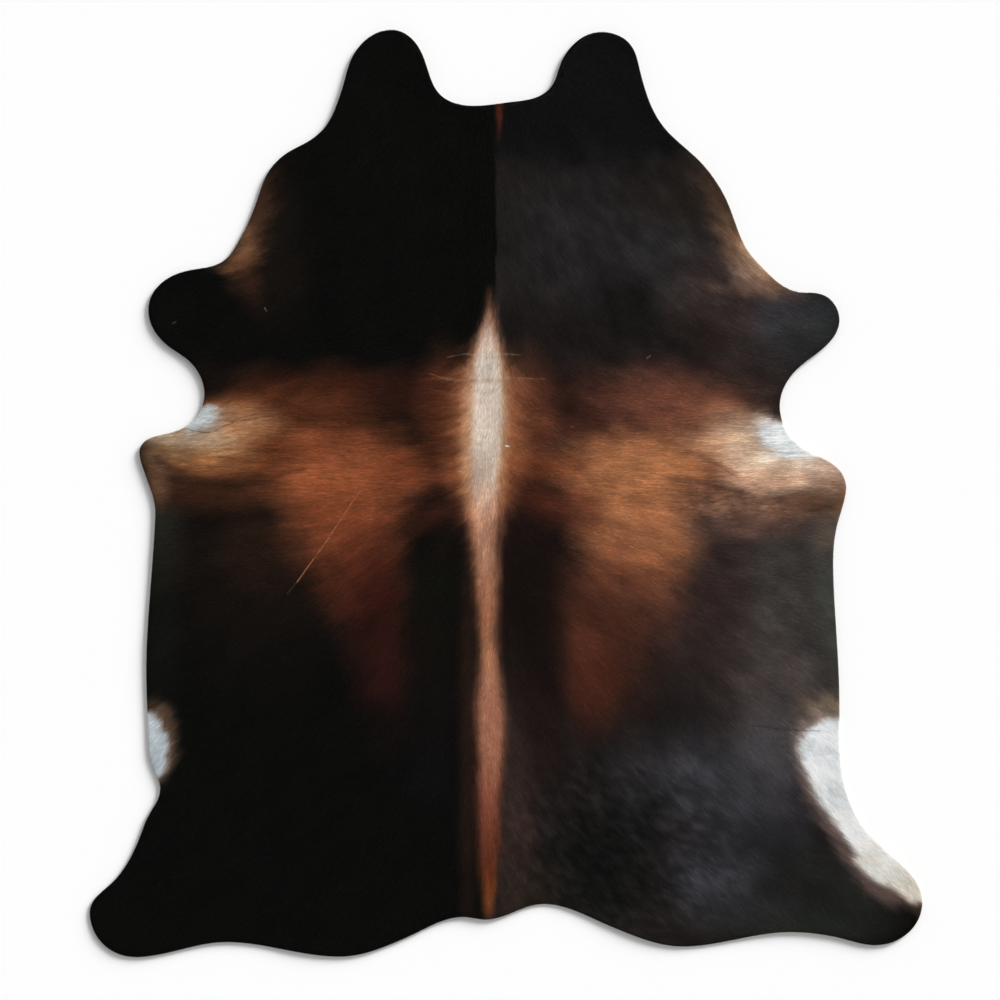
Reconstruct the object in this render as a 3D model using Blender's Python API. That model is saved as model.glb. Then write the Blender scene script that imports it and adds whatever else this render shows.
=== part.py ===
"""Hair-on cowhide rug: one whole tanned hide, lying flat with its hair side up.

Metres, +Z up, +Y towards the head end. The origin is on the floor under the middle of the
hide's length and width. The hide is one closed solid: the leather with its cut edge, and
above it the short hair, which reaches a few millimetres past the cut.
"""

import math
from collections import namedtuple

import bmesh
import bpy
import numpy as np

# Driving dimensions
HIDE_LENGTH = 2.100          # along Y, head lobes to hind legs
HIDE_WIDTH = 1.886           # along X, hind leg to hind leg
LEATHER_THICKNESS = 0.0024
HAIR_TIP_HEIGHT = 0.0032     # height of the outermost hair tips above the floor
HIDE_THICKNESS = 0.0050      # leather and hair together
HAIR_OVERHANG = 0.0040       # how far the hair reaches past the cut edge of the leather
ROUND_OVER = 0.0140          # width of the band in which the hair thins towards the edge
EDGE_STEP = 0.030            # longest straight step along the outline

HAIR_COLOR = (0.036, 0.021, 0.016)
HAIR_ROUGHNESS = 0.55

# The outline, clockwise from the nape. Each landmark is a place on the edge and the bearing
# at which the edge runs through it, in degrees anticlockwise from +X.
Landmark = namedtuple("Landmark", "name x y bearing")

NECK_END = (
    Landmark("nape_left", -0.161, 0.919, -61),
    Landmark("nape_floor", -0.073, 0.878, 0),
    Landmark("nape_rise", 0.031, 0.889, 5),
)
RIGHT_HEAD_LOBE = (
    Landmark("head_lobe_root", 0.111, 0.936, 68),
    Landmark("head_lobe_inner", 0.131, 0.989, 60),
    Landmark("head_lobe_tip", 0.215, 1.045, 0),
    Landmark("head_lobe_outer", 0.276, 1.023, -43),
    Landmark("cheek", 0.304, 0.955, -76),
    Landmark("jaw", 0.364, 0.822, -48),
)
RIGHT_NECK = (
    Landmark("neck", 0.451, 0.739, -50),
    Landmark("neck_middle", 0.503, 0.656, -67),
    Landmark("shoulder", 0.565, 0.528, -45),
)
RIGHT_FORELEG = (
    Landmark("foreleg_front", 0.668, 0.455, -5),
    Landmark("foreleg_corner", 0.726, 0.446, -35),
    Landmark("foreleg_tip", 0.755, 0.394, -90),
    Landmark("foreleg_rear", 0.682, 0.301, -144),
    Landmark("armpit", 0.620, 0.197, -90),
)
RIGHT_BELLY = (
    Landmark("elbow_inner", 0.666, 0.108, -38),
    Landmark("elbow_front", 0.739, 0.067, -35),
    Landmark("elbow_tip", 0.770, 0.017, -90),
    Landmark("elbow_rear", 0.753, -0.060, -106),
    Landmark("waist", 0.741, -0.151, -90),
    Landmark("flank", 0.754, -0.422, -88),
    Landmark("thigh", 0.760, -0.615, -84),
)
RIGHT_HIND_LEG = (
    Landmark("knee", 0.814, -0.759, -51),
    Landmark("shank", 0.890, -0.833, -42),
    Landmark("hind_leg_tip", 0.943, -0.925, -90),
    Landmark("hind_leg_rear", 0.836, -1.023, 180),
    Landmark("hind_leg_inner", 0.750, -1.005, 168),
    Landmark("hock", 0.645, -0.993, 180),
)
RUMP = (
    Landmark("rump_right", 0.401, -1.026, 180),
    Landmark("rump_rise", 0.239, -0.981, 158),
    Landmark("tail_bay", 0.083, -0.930, 181),
    Landmark("tail_stub", -0.047, -0.965, 180),
    Landmark("tail_dip", -0.096, -0.959, 180),
    Landmark("rump_slope", -0.233, -1.009, 203),
    Landmark("rump_left", -0.376, -1.049, 180),
)
LEFT_HIND_LEG = (
    Landmark("hock", -0.634, -1.016, 180),
    Landmark("hind_leg_rear", -0.840, -1.050, 180),
    Landmark("hind_leg_tip", -0.943, -0.948, 90),
    Landmark("shank", -0.8895, -0.879, 45),
    Landmark("knee", -0.816, -0.743, 70),
)
LEFT_BELLY = (
    Landmark("thigh_notch", -0.783, -0.665, 97),
    Landmark("thigh", -0.801, -0.617, 112),
    Landmark("flank", -0.810, -0.547, 92),
    Landmark("belly", -0.8145, -0.404, 90),
    Landmark("waist", -0.794, -0.045, 88),
    Landmark("elbow_rear", -0.820, 0.052, 107),
    Landmark("elbow_tip", -0.830, 0.097, 84),
    Landmark("elbow_front", -0.779, 0.133, 10),
)
LEFT_FORELEG = (
    Landmark("elbow_inner", -0.702, 0.172, 52),
    Landmark("armpit", -0.683, 0.228, 92),
    Landmark("foreleg_rear", -0.742, 0.318, 150),
    Landmark("foreleg_tip", -0.810, 0.416, 90),
    Landmark("foreleg_front", -0.714, 0.506, 9),
)
LEFT_NECK = (
    Landmark("shoulder", -0.642, 0.525, 32),
    Landmark("neck_low", -0.598, 0.585, 60),
    Landmark("neck", -0.553, 0.697, 72),
    Landmark("jaw", -0.473, 0.784, 24),
)
LEFT_HEAD_LOBE = (
    Landmark("jaw_corner", -0.396, 0.851, 64),
    Landmark("cheek", -0.359, 0.960, 75),
    Landmark("head_lobe_tip", -0.258, 1.050, 0),
    Landmark("head_lobe_inner", -0.202, 1.017, -54),
)
HIDE_EDGE = (
    NECK_END + RIGHT_HEAD_LOBE + RIGHT_NECK + RIGHT_FORELEG + RIGHT_BELLY + RIGHT_HIND_LEG
    + RUMP + LEFT_HIND_LEG + LEFT_BELLY + LEFT_FORELEG + LEFT_NECK + LEFT_HEAD_LOBE
)

# The section through the edge, from the underside up over the hair to the top.
Ring = namedtuple("Ring", "inset height")
EDGE_SECTION = (
    Ring(HAIR_OVERHANG, 0.0),
    Ring(HAIR_OVERHANG, LEATHER_THICKNESS),
    Ring(0.0, HAIR_TIP_HEIGHT),
    Ring(HAIR_OVERHANG, HIDE_THICKNESS - 0.0006),
    Ring(ROUND_OVER, HIDE_THICKNESS),
)


def remove_startup_objects():
    for obj in list(bpy.data.objects):
        bpy.data.objects.remove(obj, do_unlink=True)


def direction(bearing):
    angle = math.radians(bearing)
    return np.array((math.cos(angle), math.sin(angle)))


def edge_between(start, end):
    """Points from one landmark up to the next, on a cubic that leaves and arrives at their
    bearings. Its handles are as long as those of a circular arc with the same turn."""
    first = np.array((start.x, start.y))
    last = np.array((end.x, end.y))
    chord = np.linalg.norm(last - first)
    turn = math.radians((end.bearing - start.bearing + 180) % 360 - 180)
    handle = chord / (3 * math.cos(turn / 4) ** 2)
    leaving = first + handle * direction(start.bearing)
    arriving = last - handle * direction(end.bearing)
    steps = math.ceil(chord / EDGE_STEP)
    t = np.linspace(0, 1, steps, endpoint=False)[:, None]
    return (
        (1 - t) ** 3 * first
        + 3 * (1 - t) ** 2 * t * leaving
        + 3 * (1 - t) * t ** 2 * arriving
        + t ** 3 * last
    )


def hide_outline():
    """The closed outline, centred and stretched to the hide's length and width."""
    following = HIDE_EDGE[1:] + HIDE_EDGE[:1]
    points = np.concatenate([edge_between(a, b) for a, b in zip(HIDE_EDGE, following)])
    low = points.min(axis=0)
    high = points.max(axis=0)
    return (points - (low + high) / 2) * (HIDE_WIDTH, HIDE_LENGTH) / (high - low)


def inward_normals(outline):
    """Unit normals that point into a clockwise outline, across each point's neighbours."""
    along = np.roll(outline, -1, axis=0) - np.roll(outline, 1, axis=0)
    inward = np.column_stack((along[:, 1], -along[:, 0]))
    return inward / np.linalg.norm(inward, axis=1)[:, None]


def hair_material():
    material = bpy.data.materials.new("short_dark_hair")
    material.use_nodes = True
    shader = material.node_tree.nodes["Principled BSDF"]
    shader.inputs["Base Color"].default_value = (*HAIR_COLOR, 1.0)
    shader.inputs["Roughness"].default_value = HAIR_ROUGHNESS
    shader.inputs["Metallic"].default_value = 0.0
    return material


def make_hide():
    """The hide as rings of one outline, joined by bands and closed by two flat faces."""
    outline = hide_outline()
    inward = inward_normals(outline)
    mesh = bmesh.new()
    rings = []
    for inset, height in EDGE_SECTION:
        ring = outline + inset * inward
        rings.append([mesh.verts.new((x, y, height)) for x, y in ring])
    for lower, upper in zip(rings[:-1], rings[1:]):
        for i, corner in enumerate(lower):
            mesh.faces.new((lower[i - 1], corner, upper[i], upper[i - 1]))
    mesh.faces.new(rings[0])
    mesh.faces.new(rings[-1])
    bmesh.ops.recalc_face_normals(mesh, faces=mesh.faces)

    data = bpy.data.meshes.new("hide")
    mesh.to_mesh(data)
    mesh.free()
    data.materials.append(hair_material())
    hide = bpy.data.objects.new("hide", data)
    bpy.context.scene.collection.objects.link(hide)
    return hide


remove_startup_objects()
make_hide()
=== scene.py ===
"""Hair-on cowhide rug: the finished leather and coat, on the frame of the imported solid.

Metres, +Z up, +Y towards the head end, the origin on the floor under the middle of the hide.
The leather is a thin sheet with a cut edge. The undercoat is a closed shell over it, which
takes the hide's outline from the CAD ring of hair tips. On it lie locks of guard hair, in
five pieces, one for each part of the hide. Every surface is a function of two parameters,
or one lock's four corners repeated, and is worked out as whole arrays.
"""
from collections import namedtuple

import bpy
import numpy as np
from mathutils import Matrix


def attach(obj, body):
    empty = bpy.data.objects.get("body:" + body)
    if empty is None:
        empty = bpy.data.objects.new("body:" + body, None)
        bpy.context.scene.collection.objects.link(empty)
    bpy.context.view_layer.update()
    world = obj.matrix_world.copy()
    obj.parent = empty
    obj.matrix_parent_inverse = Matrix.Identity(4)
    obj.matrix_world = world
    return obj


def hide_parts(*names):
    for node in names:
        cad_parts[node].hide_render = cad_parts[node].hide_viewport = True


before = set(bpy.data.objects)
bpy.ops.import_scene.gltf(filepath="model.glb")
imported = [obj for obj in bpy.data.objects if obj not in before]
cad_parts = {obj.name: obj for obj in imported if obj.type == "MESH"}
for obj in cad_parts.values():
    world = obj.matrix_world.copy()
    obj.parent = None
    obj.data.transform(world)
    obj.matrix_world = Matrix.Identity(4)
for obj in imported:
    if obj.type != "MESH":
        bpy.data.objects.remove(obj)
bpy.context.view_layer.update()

# The hide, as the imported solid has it
HAIR_TIP_HEIGHT = 0.0032     # height of the CAD ring that is the outline
RING_TOLERANCE = 1e-5
MERGE_DIGITS = 6             # corners that agree to this many decimals are one
HIDE_TOP = 0.0050

# Where things are along the hide
SPINE_X = -0.0390            # line of the spine
NAPE_X = -0.0225             # line of the parting on the neck
NAPE_EDGE_Y = 0.878
TAIL_EDGE_Y = -0.966
FOOT_TOP_Y = 0.560           # the spokes of the shells leave the spine between these
FOOT_TAIL_Y = -0.840
NECK_PART_Y = 0.330          # the hair's parts meet on these lines
RUMP_PART_Y = -0.400

# Outline and lattice of insets
OUTLINE_FINE = 12
SIDE_STEPS = 430
INSET_SPAN = 1.080
INSET_CELL = 0.004
INSET_BATCH = 4096
INSET_NEAR = 0.012

# Sections from the underside round the edge to the top: (inset, height)
LEATHER_SECTION = (
    (0.0050, 0.0),
    (0.0042, 0.0003),
    (0.0040, 0.0012),
    (0.0043, 0.0022),
    (0.0055, 0.0024),
)
COAT_UNDER_EDGE = (
    (0.0062, 0.0012),
    (0.0044, 0.0018),
    (0.0030, 0.0024),
    (0.0009, 0.0027),
)
COAT_OVER_EDGE = (
    (0.0000, 0.0032),
    (0.0009, 0.0037),
    (0.0035, 0.0041),
    (0.0080, 0.0043),
    (0.0140, 0.0044),
)
LEATHER_ROWS = (18, 18)      # rows between the spine and the edge, underneath and on top
COAT_ROWS = (12, 66)

# Relief
WAVE_REST = 0.0009
WAVE_HEIGHT = 0.0011
WAVE_CELL = 0.21
WAVE_SEED = 41
CURL_HEIGHT = (0.0008, 0.0030)    # the hide's edge curls up by this much
CURL_WIDTH = 0.035
CURL_CELL = 0.17
CURL_SEED = 43

# Locks of guard hair
HAIR_SEED = 7
LOCK_SPACING = 0.0039
LOCK_LENGTH = (0.012, 0.021)
LOCK_WIDTH = (0.0013, 0.0024)
LOCK_STRAY = 0.13            # radians by which a lock leaves the flow
LOCK_FACES = ((0, 3, 1), (0, 1, 2), (1, 3, 2), (3, 0, 2))
RIDGE_PLACE = 0.35
RIDGE_LIFT = 0.00018
ROOT_SINK = 0.00025
ROOT_INSET = 0.0030
TIP_LIFT = (0.0001, 0.0005)
TIP_OVERHANG = 0.0008        # a lock ends at most this far past the outline
LOCK_STUB = 0.05             # and keeps at least this share of its length
LEAST_FALL = 1e-6            # stands in for a fall of the inset too small to divide by
FRINGE_LOCKS = 9000
FRINGE_INSET = (0.0015, 0.0060)
FRINGE_OUTWARD = 0.9
LOCK_ROUND = 0.22            # lean of the normals across a lock, and at its tip
LOCK_NOD = 0.10
SLOPE_STEP = 0.001
LOCK_GLOW = 0.08             # spread of the locks' brightness
LOCK_WARMTH = (0.03, 0.0, -0.03)
# painted shade on each lock's two root corners, under the locks before it, and painted light on its
# raised tip
LOCK_ROOT_SHADE_TIP_LIGHT = (0.90, 0.90, 1.0, 1.06)

# Flow of the hair, in metres and radians
FLOW_PARTING = 0.05
FLOW_REACH = 0.30
FLOW_BELLY_Y = 0.10
FLOW_BELLY_LENGTH = 0.30
FLOW_NEAR = 0.06
FLOW_OUTWARD = 0.50
FLOW_SPREAD = 0.38
FLOW_BELLY_TURN = 0.60
Swirl = namedtuple("Swirl", "turn cell seed")
FLOW_SWIRLS = (Swirl(0.24, 0.23, 11), Swirl(0.12, 0.045, 12))

# Noise
LATTICE = 256
LATTICE_SHIFT = (57.3, 91.7)
CLOUD_OCTAVES = (1.0, 0.55, 0.30)
CLOUD_LEVEL = 1.15
CLOUD_CELL = 0.09
CLOUD_SEED = 31
CLOUD_FRAY = 0.30
Strands = namedtuple("Strands", "strength cell length seed")
STRAND_LAYERS = (Strands(0.6, 0.004, 0.022, 21), Strands(0.7, 0.012, 0.050, 22))
STRAND_FRAY = 0.14
STREAK_SHARES = (-0.5, -0.33, -0.17, 0.0, 0.17, 0.33, 0.5)
MOTTLE_SEED = 50
MOTTLE_END = 1.4             # a mottle is gone at this share of its reach
MOTTLE_FADE = 0.8

# Parting
PARTING_SOFT = 0.007
PARTING_FRAY = 0.003
PARTING_TOP = 0.461
PARTING_BEND = 0.091

# Colours
WHITE = (1.0, 1.0, 1.0, 1.0)
GROUND_COLOR = (11, 11, 10)
SRGB_KNEE = 0.04045          # sRGB is a straight line below this, and a power above it
SRGB_SLOPE = 12.92
SRGB_OFFSET = 0.055
SRGB_POWER = 2.4
COAT_GAIN = 1.10             # makes up for the shade that the locks cast on each other

# Materials
NOISE_MIDDLE = (0.5, 0.5, 0.5)
ALONG_X = (1.0, 0.0, 0.0)
ALONG_Y = (0.0, 1.0, 0.0)
PLAN = (1.0, 1.0, 0.0)
# the undercoat is darkened to this share of the coat's colour, as painted shade under and between the
# locks
UNDERHAIR_PAINTED_SHADE = 0.8
UNDERHAIR_ROUGHNESS = 0.7
GUARD_SHADE = 1.0
GUARD_ROUGHNESS = 0.5
GUARD_SPECULAR = 0.06
Noise = namedtuple("Noise", "scale detail roughness")
GRAIN = Noise(900.0, 3.0, 0.6)
GRAIN_SPAN = (0.25, 0.75)
GRAIN_DEPTH = 0.08
BAND_Y = 0.09                # the rust bands cross the hide on this line
BAND_REACH = 0.22
BAND_FULL = 0.3              # the wrinkles are at their deepest up to this share of the reach
BAND_SPINE = (0.04, 0.12)    # they fade in between these distances from the spine
BAND_STRETCH = (1.0, 12.0, 1.0)
BAND_WRINKLES = Noise(22.0, 3.0, 0.6)
BAND_SPAN = (0.3, 0.7)
BAND_DEPTH = 0.15
LINE_WAVER = 0.0012          # a thin line strays this far
LINE_WAVER_NOISE = Noise(60.0, 2.0, 0.5)
LINE_BREAK = 0.35            # share of a thin line's strength that is left at its faintest
LINE_BREAK_NOISE = Noise(90.0, 2.0, 0.5)
LINE_BREAK_SPAN = (0.38, 0.58)
LINE_FADE = (0.6, 2.4)       # half-widths between which a thin line fades out
SUEDE_DARK = (0.43, 0.35, 0.27, 1.0)
SUEDE_LIGHT = (0.56, 0.48, 0.38, 1.0)
SUEDE_FIBRE = (0.62, 0.55, 0.46, 1.0)
SUEDE_CLOUDS = Noise(9.0, 4.0, 0.6)
SUEDE_CLOUD_SPAN = (0.3, 0.7)
SUEDE_FIBRES = Noise(650.0, 3.0, 0.7)
SUEDE_FIBRE_SPAN = (0.3, 0.75)
SUEDE_FIBRE_SHARE = 0.35
SUEDE_ROUGHNESS = 0.92
SUEDE_SPECULAR = 0.2
SUEDE_NAP = 0.0005

# Stage
CAMERA_LENS = 85.0
CAMERA_SENSOR = 36.0
CAMERA_CLIP = 100.0
FRAME_WIDTH = 2.2654
FRAME_CENTRE = (-0.0136, -0.0147)
FLOOR_HALF = 20.0
FLOOR_ALBEDO = 0.96
Lamp = namedtuple("Lamp", "name azimuth elevation width share")
LAMPS = (
    Lamp("key_lamp", 45.0, 16.5, 22.0, 0.52),
    Lamp("head_lamp", 85.0, 24.0, 45.0, 0.11),
    Lamp("right_lamp", 5.0, 24.0, 45.0, 0.11),
    Lamp("left_fill", 180.0, 40.0, 60.0, 0.045),
    Lamp("tail_fill", 265.0, 40.0, 60.0, 0.045),
)
SKY_HORIZON = 1.0
SKY_ZENITH = 0.12
SKY_FADE = 0.55

# Blots of colour. Their softness, fray and opacity are shares, their turn is in degrees, and
# their colours are sRGB from 0 to 255.
Blot = namedtuple("Blot", "name x y reach_x reach_y turn soft fray opacity color side")

# The grey-brown ground of the right half, partly painted sheen: the coat's own dark colour, made
# greyer, and in its veil, slate, blue and pale blots bluer, than the black left half, as if its hair
# caught the light
RIGHT_GROUND_AND_SHEEN = (
    ("ground", 0.326, -0.151, 0.748, 1.178, 0, 0.1, 0.0, 1.0, (30, 26, 25)),
    ("head_dark", 0.19, 0.968, 0.385, 0.249, 0, 0.16, 0.3, 1.0, (16, 16, 16)),
    ("veil", 0.227, 0.565, 0.249, 0.172, -8, 0.6, 0.3, 0.85, (37, 34, 35)),
    ("veil_slate", 0.367, 0.524, 0.086, 0.077, 0, 0.7, 0.4, 0.8, (43, 43, 44)),
    ("cheek_brown", 0.376, 0.665, 0.109, 0.059, -20, 0.7, 0.5, 0.8, (35, 30, 27)),
    ("shoulder_warm", 0.519, 0.438, 0.159, 0.104, -15, 0.6, 0.3, 0.85, (57, 46, 43)),
    ("foreleg_slate", 0.657, 0.398, 0.1, 0.072, 10, 0.6, 0.4, 0.85, (50, 50, 53)),
    ("foreleg_tip", 0.725, 0.398, 0.036, 0.059, 0, 0.7, 0.3, 0.7, (44, 49, 48)),
    ("foreleg_rear", 0.643, 0.321, 0.077, 0.041, 20, 0.6, 0.3, 0.8, (38, 38, 38)),
    ("withers_dark", 0.122, 0.359, 0.186, 0.054, 0, 0.7, 0.4, 0.85, (25, 21, 20)),
    ("withers_pit", 0.29, 0.434, 0.059, 0.059, 10, 0.8, 0.6, 0.85, (19, 18, 17)),
    ("shoulder_dark", 0.451, 0.352, 0.059, 0.032, -20, 0.8, 0.4, 0.8, (34, 26, 24)),
    ("armpit_dark", 0.557, 0.275, 0.091, 0.054, -20, 0.7, 0.3, 0.85, (47, 39, 38)),
    ("warm_ground", 0.122, -0.151, 0.204, 0.317, 0, 0.6, 0.2, 0.95, (25, 17, 15)),
    ("flank_brown", 0.496, -0.241, 0.193, 0.193, 0, 0.6, 0.3, 0.9, (50, 39, 37)),
    ("flank_grey", 0.666, -0.241, 0.118, 0.249, 0, 0.5, 0.2, 0.9, (57, 54, 51)),
    ("flank_olive", 0.748, -0.219, 0.041, 0.204, 0, 0.7, 0.2, 0.85, (68, 69, 63)),
    ("belly_edge", 0.725, -0.087, 0.036, 0.041, 0, 0.8, 0.3, 0.8, (88, 74, 66)),
    ("thigh_grey", 0.621, -0.468, 0.113, 0.15, 0, 0.7, 0.3, 0.85, (70, 62, 61)),
    ("rump_blue", 0.476, -0.663, 0.199, 0.1, -10, 0.7, 0.35, 0.95, (53, 52, 56)),
    ("rump_pale", 0.594, -0.608, 0.068, 0.104, -10, 0.8, 0.25, 0.75, (72, 70, 73)),
    ("rump_blue_low", 0.476, -0.867, 0.104, 0.091, -10, 0.7, 0.4, 0.95, (54, 55, 59)),
    ("rump_mid", 0.553, -0.785, 0.136, 0.091, 0, 0.7, 0.4, 0.7, (44, 43, 47)),
    ("rump_pale_edge", 0.58, -0.939, 0.082, 0.041, 0, 0.8, 0.4, 0.7, (46, 46, 48)),
    ("rump_dark", 0.208, -0.853, 0.113, 0.113, 10, 0.7, 0.5, 0.9, (17, 18, 17)),
    ("rump_dark_high", 0.308, -0.722, 0.077, 0.068, 0, 0.8, 0.6, 0.8, (26, 26, 26)),
    ("beside_spine", 0.027, -0.722, 0.041, 0.24, 0, 0.8, 0.3, 0.9, (52, 39, 35)),
    ("spine_foot", 0.054, -0.898, 0.082, 0.054, 0, 0.8, 0.4, 0.7, (42, 34, 28)),
    ("hock_dark", 0.752, -0.898, 0.136, 0.082, -25, 0.6, 0.3, 0.9, (31, 32, 30)),
    ("hock_edge", 0.666, -0.978, 0.136, 0.027, 0, 0.8, 0.4, 0.6, (34, 40, 34)),
)

# The warmer places in the black left half
LEFT_GROUND = (
    ("warm_ground", -0.544, -0.123, 0.249, 0.217, 0, 0.8, 0.3, 0.85, (26, 19, 15)),
    ("fan_edge", -0.553, -0.105, 0.077, 0.1, 10, 0.8, 0.5, 0.7, (44, 28, 20)),
    ("flank_olive", -0.788, -0.078, 0.05, 0.136, 0, 0.8, 0.3, 0.8, (36, 36, 30)),
    ("edge_dark", -0.784, -0.332, 0.045, 0.136, 0, 0.8, 0.3, 0.7, (18, 20, 16)),
    ("neck_warm", -0.539, 0.597, 0.077, 0.181, 8, 0.7, 0.3, 0.8, (26, 20, 15)),
)

# The left band, fan and elbow
LEFT_RUST = (
    ("rust_haze", -0.372, 0.239, 0.267, 0.05, 0, 0.7, 0.6, 0.95, (55, 28, 18)),
    ("upper_rust", -0.485, 0.18, 0.236, 0.059, 2, 0.6, 0.5, 0.9, (84, 45, 27)),
    ("armpit_rust", -0.625, 0.198, 0.072, 0.027, -4, 0.8, 0.4, 0.85, (110, 66, 41)),
    ("armpit_black", -0.671, 0.257, 0.045, 0.039, 0, 0.5, 0.3, 0.9, (20, 15, 12)),
    ("rust_band", -0.421, 0.058, 0.258, 0.068, 0, 0.45, 0.3, 0.95, (119, 63, 37)),
    ("rust_band_top", -0.34, 0.13, 0.1, 0.027, 3, 0.9, 0.4, 0.85, (118, 63, 39)),
    ("rust_glow", -0.372, 0.026, 0.136, 0.077, 0, 0.7, 0.3, 0.95, (142, 79, 50)),
    ("band_low", -0.394, 0.008, 0.095, 0.041, 0, 0.8, 0.3, 0.9, (160, 90, 56)),
    ("rust_fan", -0.36, -0.074, 0.116, 0.1, 4, 0.7, 0.4, 0.95, (126, 66, 40)),
    ("rust_fan_low", -0.317, -0.2, 0.091, 0.077, 20, 0.8, 0.7, 0.85, (98, 46, 29)),
    ("rust_tail", -0.272, -0.323, 0.077, 0.181, 6, 0.8, 0.5, 0.9, (46, 21, 17)),
    ("withers_dark", -0.236, 0.23, 0.077, 0.05, 4, 0.8, 0.4, 0.7, (40, 21, 17)),
    ("spine_rust", -0.14, 0.167, 0.054, 0.136, 0, 0.7, 0.3, 0.85, (84, 44, 28)),
    ("inner_band", -0.254, 0.049, 0.054, 0.041, 2, 0.8, 0.3, 0.8, (128, 67, 42)),
    ("inner_band_dark", -0.136, 0.044, 0.059, 0.036, 2, 0.8, 0.3, 0.6, (88, 45, 31)),
    ("copper", -0.612, 0.099, 0.145, 0.054, 4, 0.5, 0.2, 0.95, (122, 73, 44)),
    ("copper_light", -0.621, 0.153, 0.091, 0.039, 6, 0.7, 0.15, 0.9, (172, 124, 88)),
    ("copper_low", -0.512, 0.094, 0.091, 0.027, 2, 0.7, 0.3, 0.7, (98, 51, 30)),
    ("tan", -0.702, 0.094, 0.113, 0.043, 2, 0.55, 0.15, 0.95, (150, 110, 76)),
    ("tan_edge", -0.743, 0.13, 0.109, 0.023, -4, 0.7, 0.1, 0.9, (174, 150, 126)),
    ("belly_brown", -0.68, 0.008, 0.15, 0.045, 0, 0.7, 0.4, 0.9, (62, 36, 24)),
    ("copper_foot", -0.68, 0.058, 0.086, 0.023, 0, 0.7, 0.3, 0.8, (132, 84, 53)),
    ("edge_brown", -0.788, 0.031, 0.027, 0.059, 0, 0.7, 0.3, 0.85, (96, 68, 50)),
)

# The right band, fan, elbow and wing
RIGHT_RUST = (
    ("rust_haze", 0.19, 0.207, 0.222, 0.068, 0, 0.7, 0.5, 0.95, (41, 24, 20)),
    ("band_top", 0.131, 0.144, 0.109, 0.027, 0, 0.8, 0.3, 0.8, (68, 38, 29)),
    ("upper_haze", 0.376, 0.271, 0.15, 0.041, 0, 0.8, 0.4, 0.9, (47, 32, 29)),
    ("upper_rust", 0.381, 0.198, 0.163, 0.066, -6, 0.7, 0.6, 0.9, (108, 65, 49)),
    ("outer_rust", 0.494, 0.173, 0.072, 0.032, -12, 0.7, 0.3, 0.8, (140, 92, 66)),
    ("rust_band", 0.326, 0.071, 0.227, 0.061, 0, 0.6, 0.2, 0.95, (144, 90, 60)),
    ("rust_glow", 0.304, 0.026, 0.15, 0.084, 0, 0.8, 0.2, 0.95, (163, 107, 70)),
    ("rust_fan", 0.299, -0.092, 0.127, 0.118, -8, 0.5, 0.4, 0.95, (163, 104, 69)),
    ("fan_inner", 0.172, -0.042, 0.041, 0.05, 0, 0.8, 0.4, 0.7, (122, 71, 47)),
    ("rust_fan_low", 0.281, -0.205, 0.113, 0.082, -12, 0.8, 0.7, 0.8, (120, 70, 48)),
    ("rust_tail", 0.222, -0.341, 0.1, 0.136, 10, 0.9, 0.5, 0.9, (70, 39, 28)),
    ("tail_glow", 0.19, -0.377, 0.05, 0.086, 10, 0.95, 0.4, 0.75, (92, 49, 35)),
    ("rust_tail_end", 0.195, -0.441, 0.05, 0.082, 0, 0.95, 0.5, 0.75, (70, 36, 26)),
    ("outer_fan", 0.494, -0.006, 0.095, 0.041, 0, 0.8, 0.4, 0.8, (112, 75, 58)),
    ("outer_low", 0.548, -0.074, 0.127, 0.029, 0, 0.8, 0.4, 0.85, (96, 70, 60)),
    ("belly_streaks", 0.589, -0.033, 0.127, 0.027, -2, 0.7, 0.3, 0.9, (124, 91, 73)),
    ("tan_mid", 0.498, 0.105, 0.086, 0.036, -6, 0.7, 0.15, 0.85, (200, 148, 110)),
    ("tan", 0.643, 0.058, 0.136, 0.057, -6, 0.5, 0.15, 0.95, (216, 184, 160)),
    ("tan_high", 0.566, 0.119, 0.086, 0.05, -18, 0.7, 0.15, 0.9, (222, 187, 158)),
    ("tan_foot", 0.589, 0.026, 0.082, 0.027, 2, 0.7, 0.15, 0.85, (204, 160, 131)),
    ("elbow_brown", 0.689, -0.017, 0.077, 0.027, 4, 0.7, 0.3, 0.85, (106, 74, 56)),
    ("tan_low", 0.734, 0.022, 0.05, 0.023, -14, 0.6, 0.15, 0.85, (150, 118, 98)),
    ("withers_rust", 0.045, 0.171, 0.059, 0.122, 0, 0.8, 0.3, 0.75, (112, 64, 43)),
    ("inner_band", 0.077, 0.062, 0.082, 0.034, 0, 0.8, 0.3, 0.8, (98, 52, 32)),
    ("wing_root", 0.082, -0.024, 0.082, 0.041, -16, 0.9, 0.4, 0.85, (74, 37, 26)),
)

# The dark left wing beside the spine
LEFT_WING = (
    ("wing_root", -0.159, -0.042, 0.059, 0.034, 10, 0.9, 0.4, 0.8, (62, 32, 23)),
    ("spine_glow", -0.086, -0.468, 0.02, 0.498, 0, 0.8, 0.2, 0.85, (42, 27, 21)),
)

# All blots, in the order in which they are painted
BLOTS = [
    Blot(*row, side)
    for side, rows in (
        ("right", RIGHT_GROUND_AND_SHEEN),
        ("left", LEFT_GROUND + LEFT_RUST),
        ("right", RIGHT_RUST),
        ("left", LEFT_WING),
    )
    for row in rows
]

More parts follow.
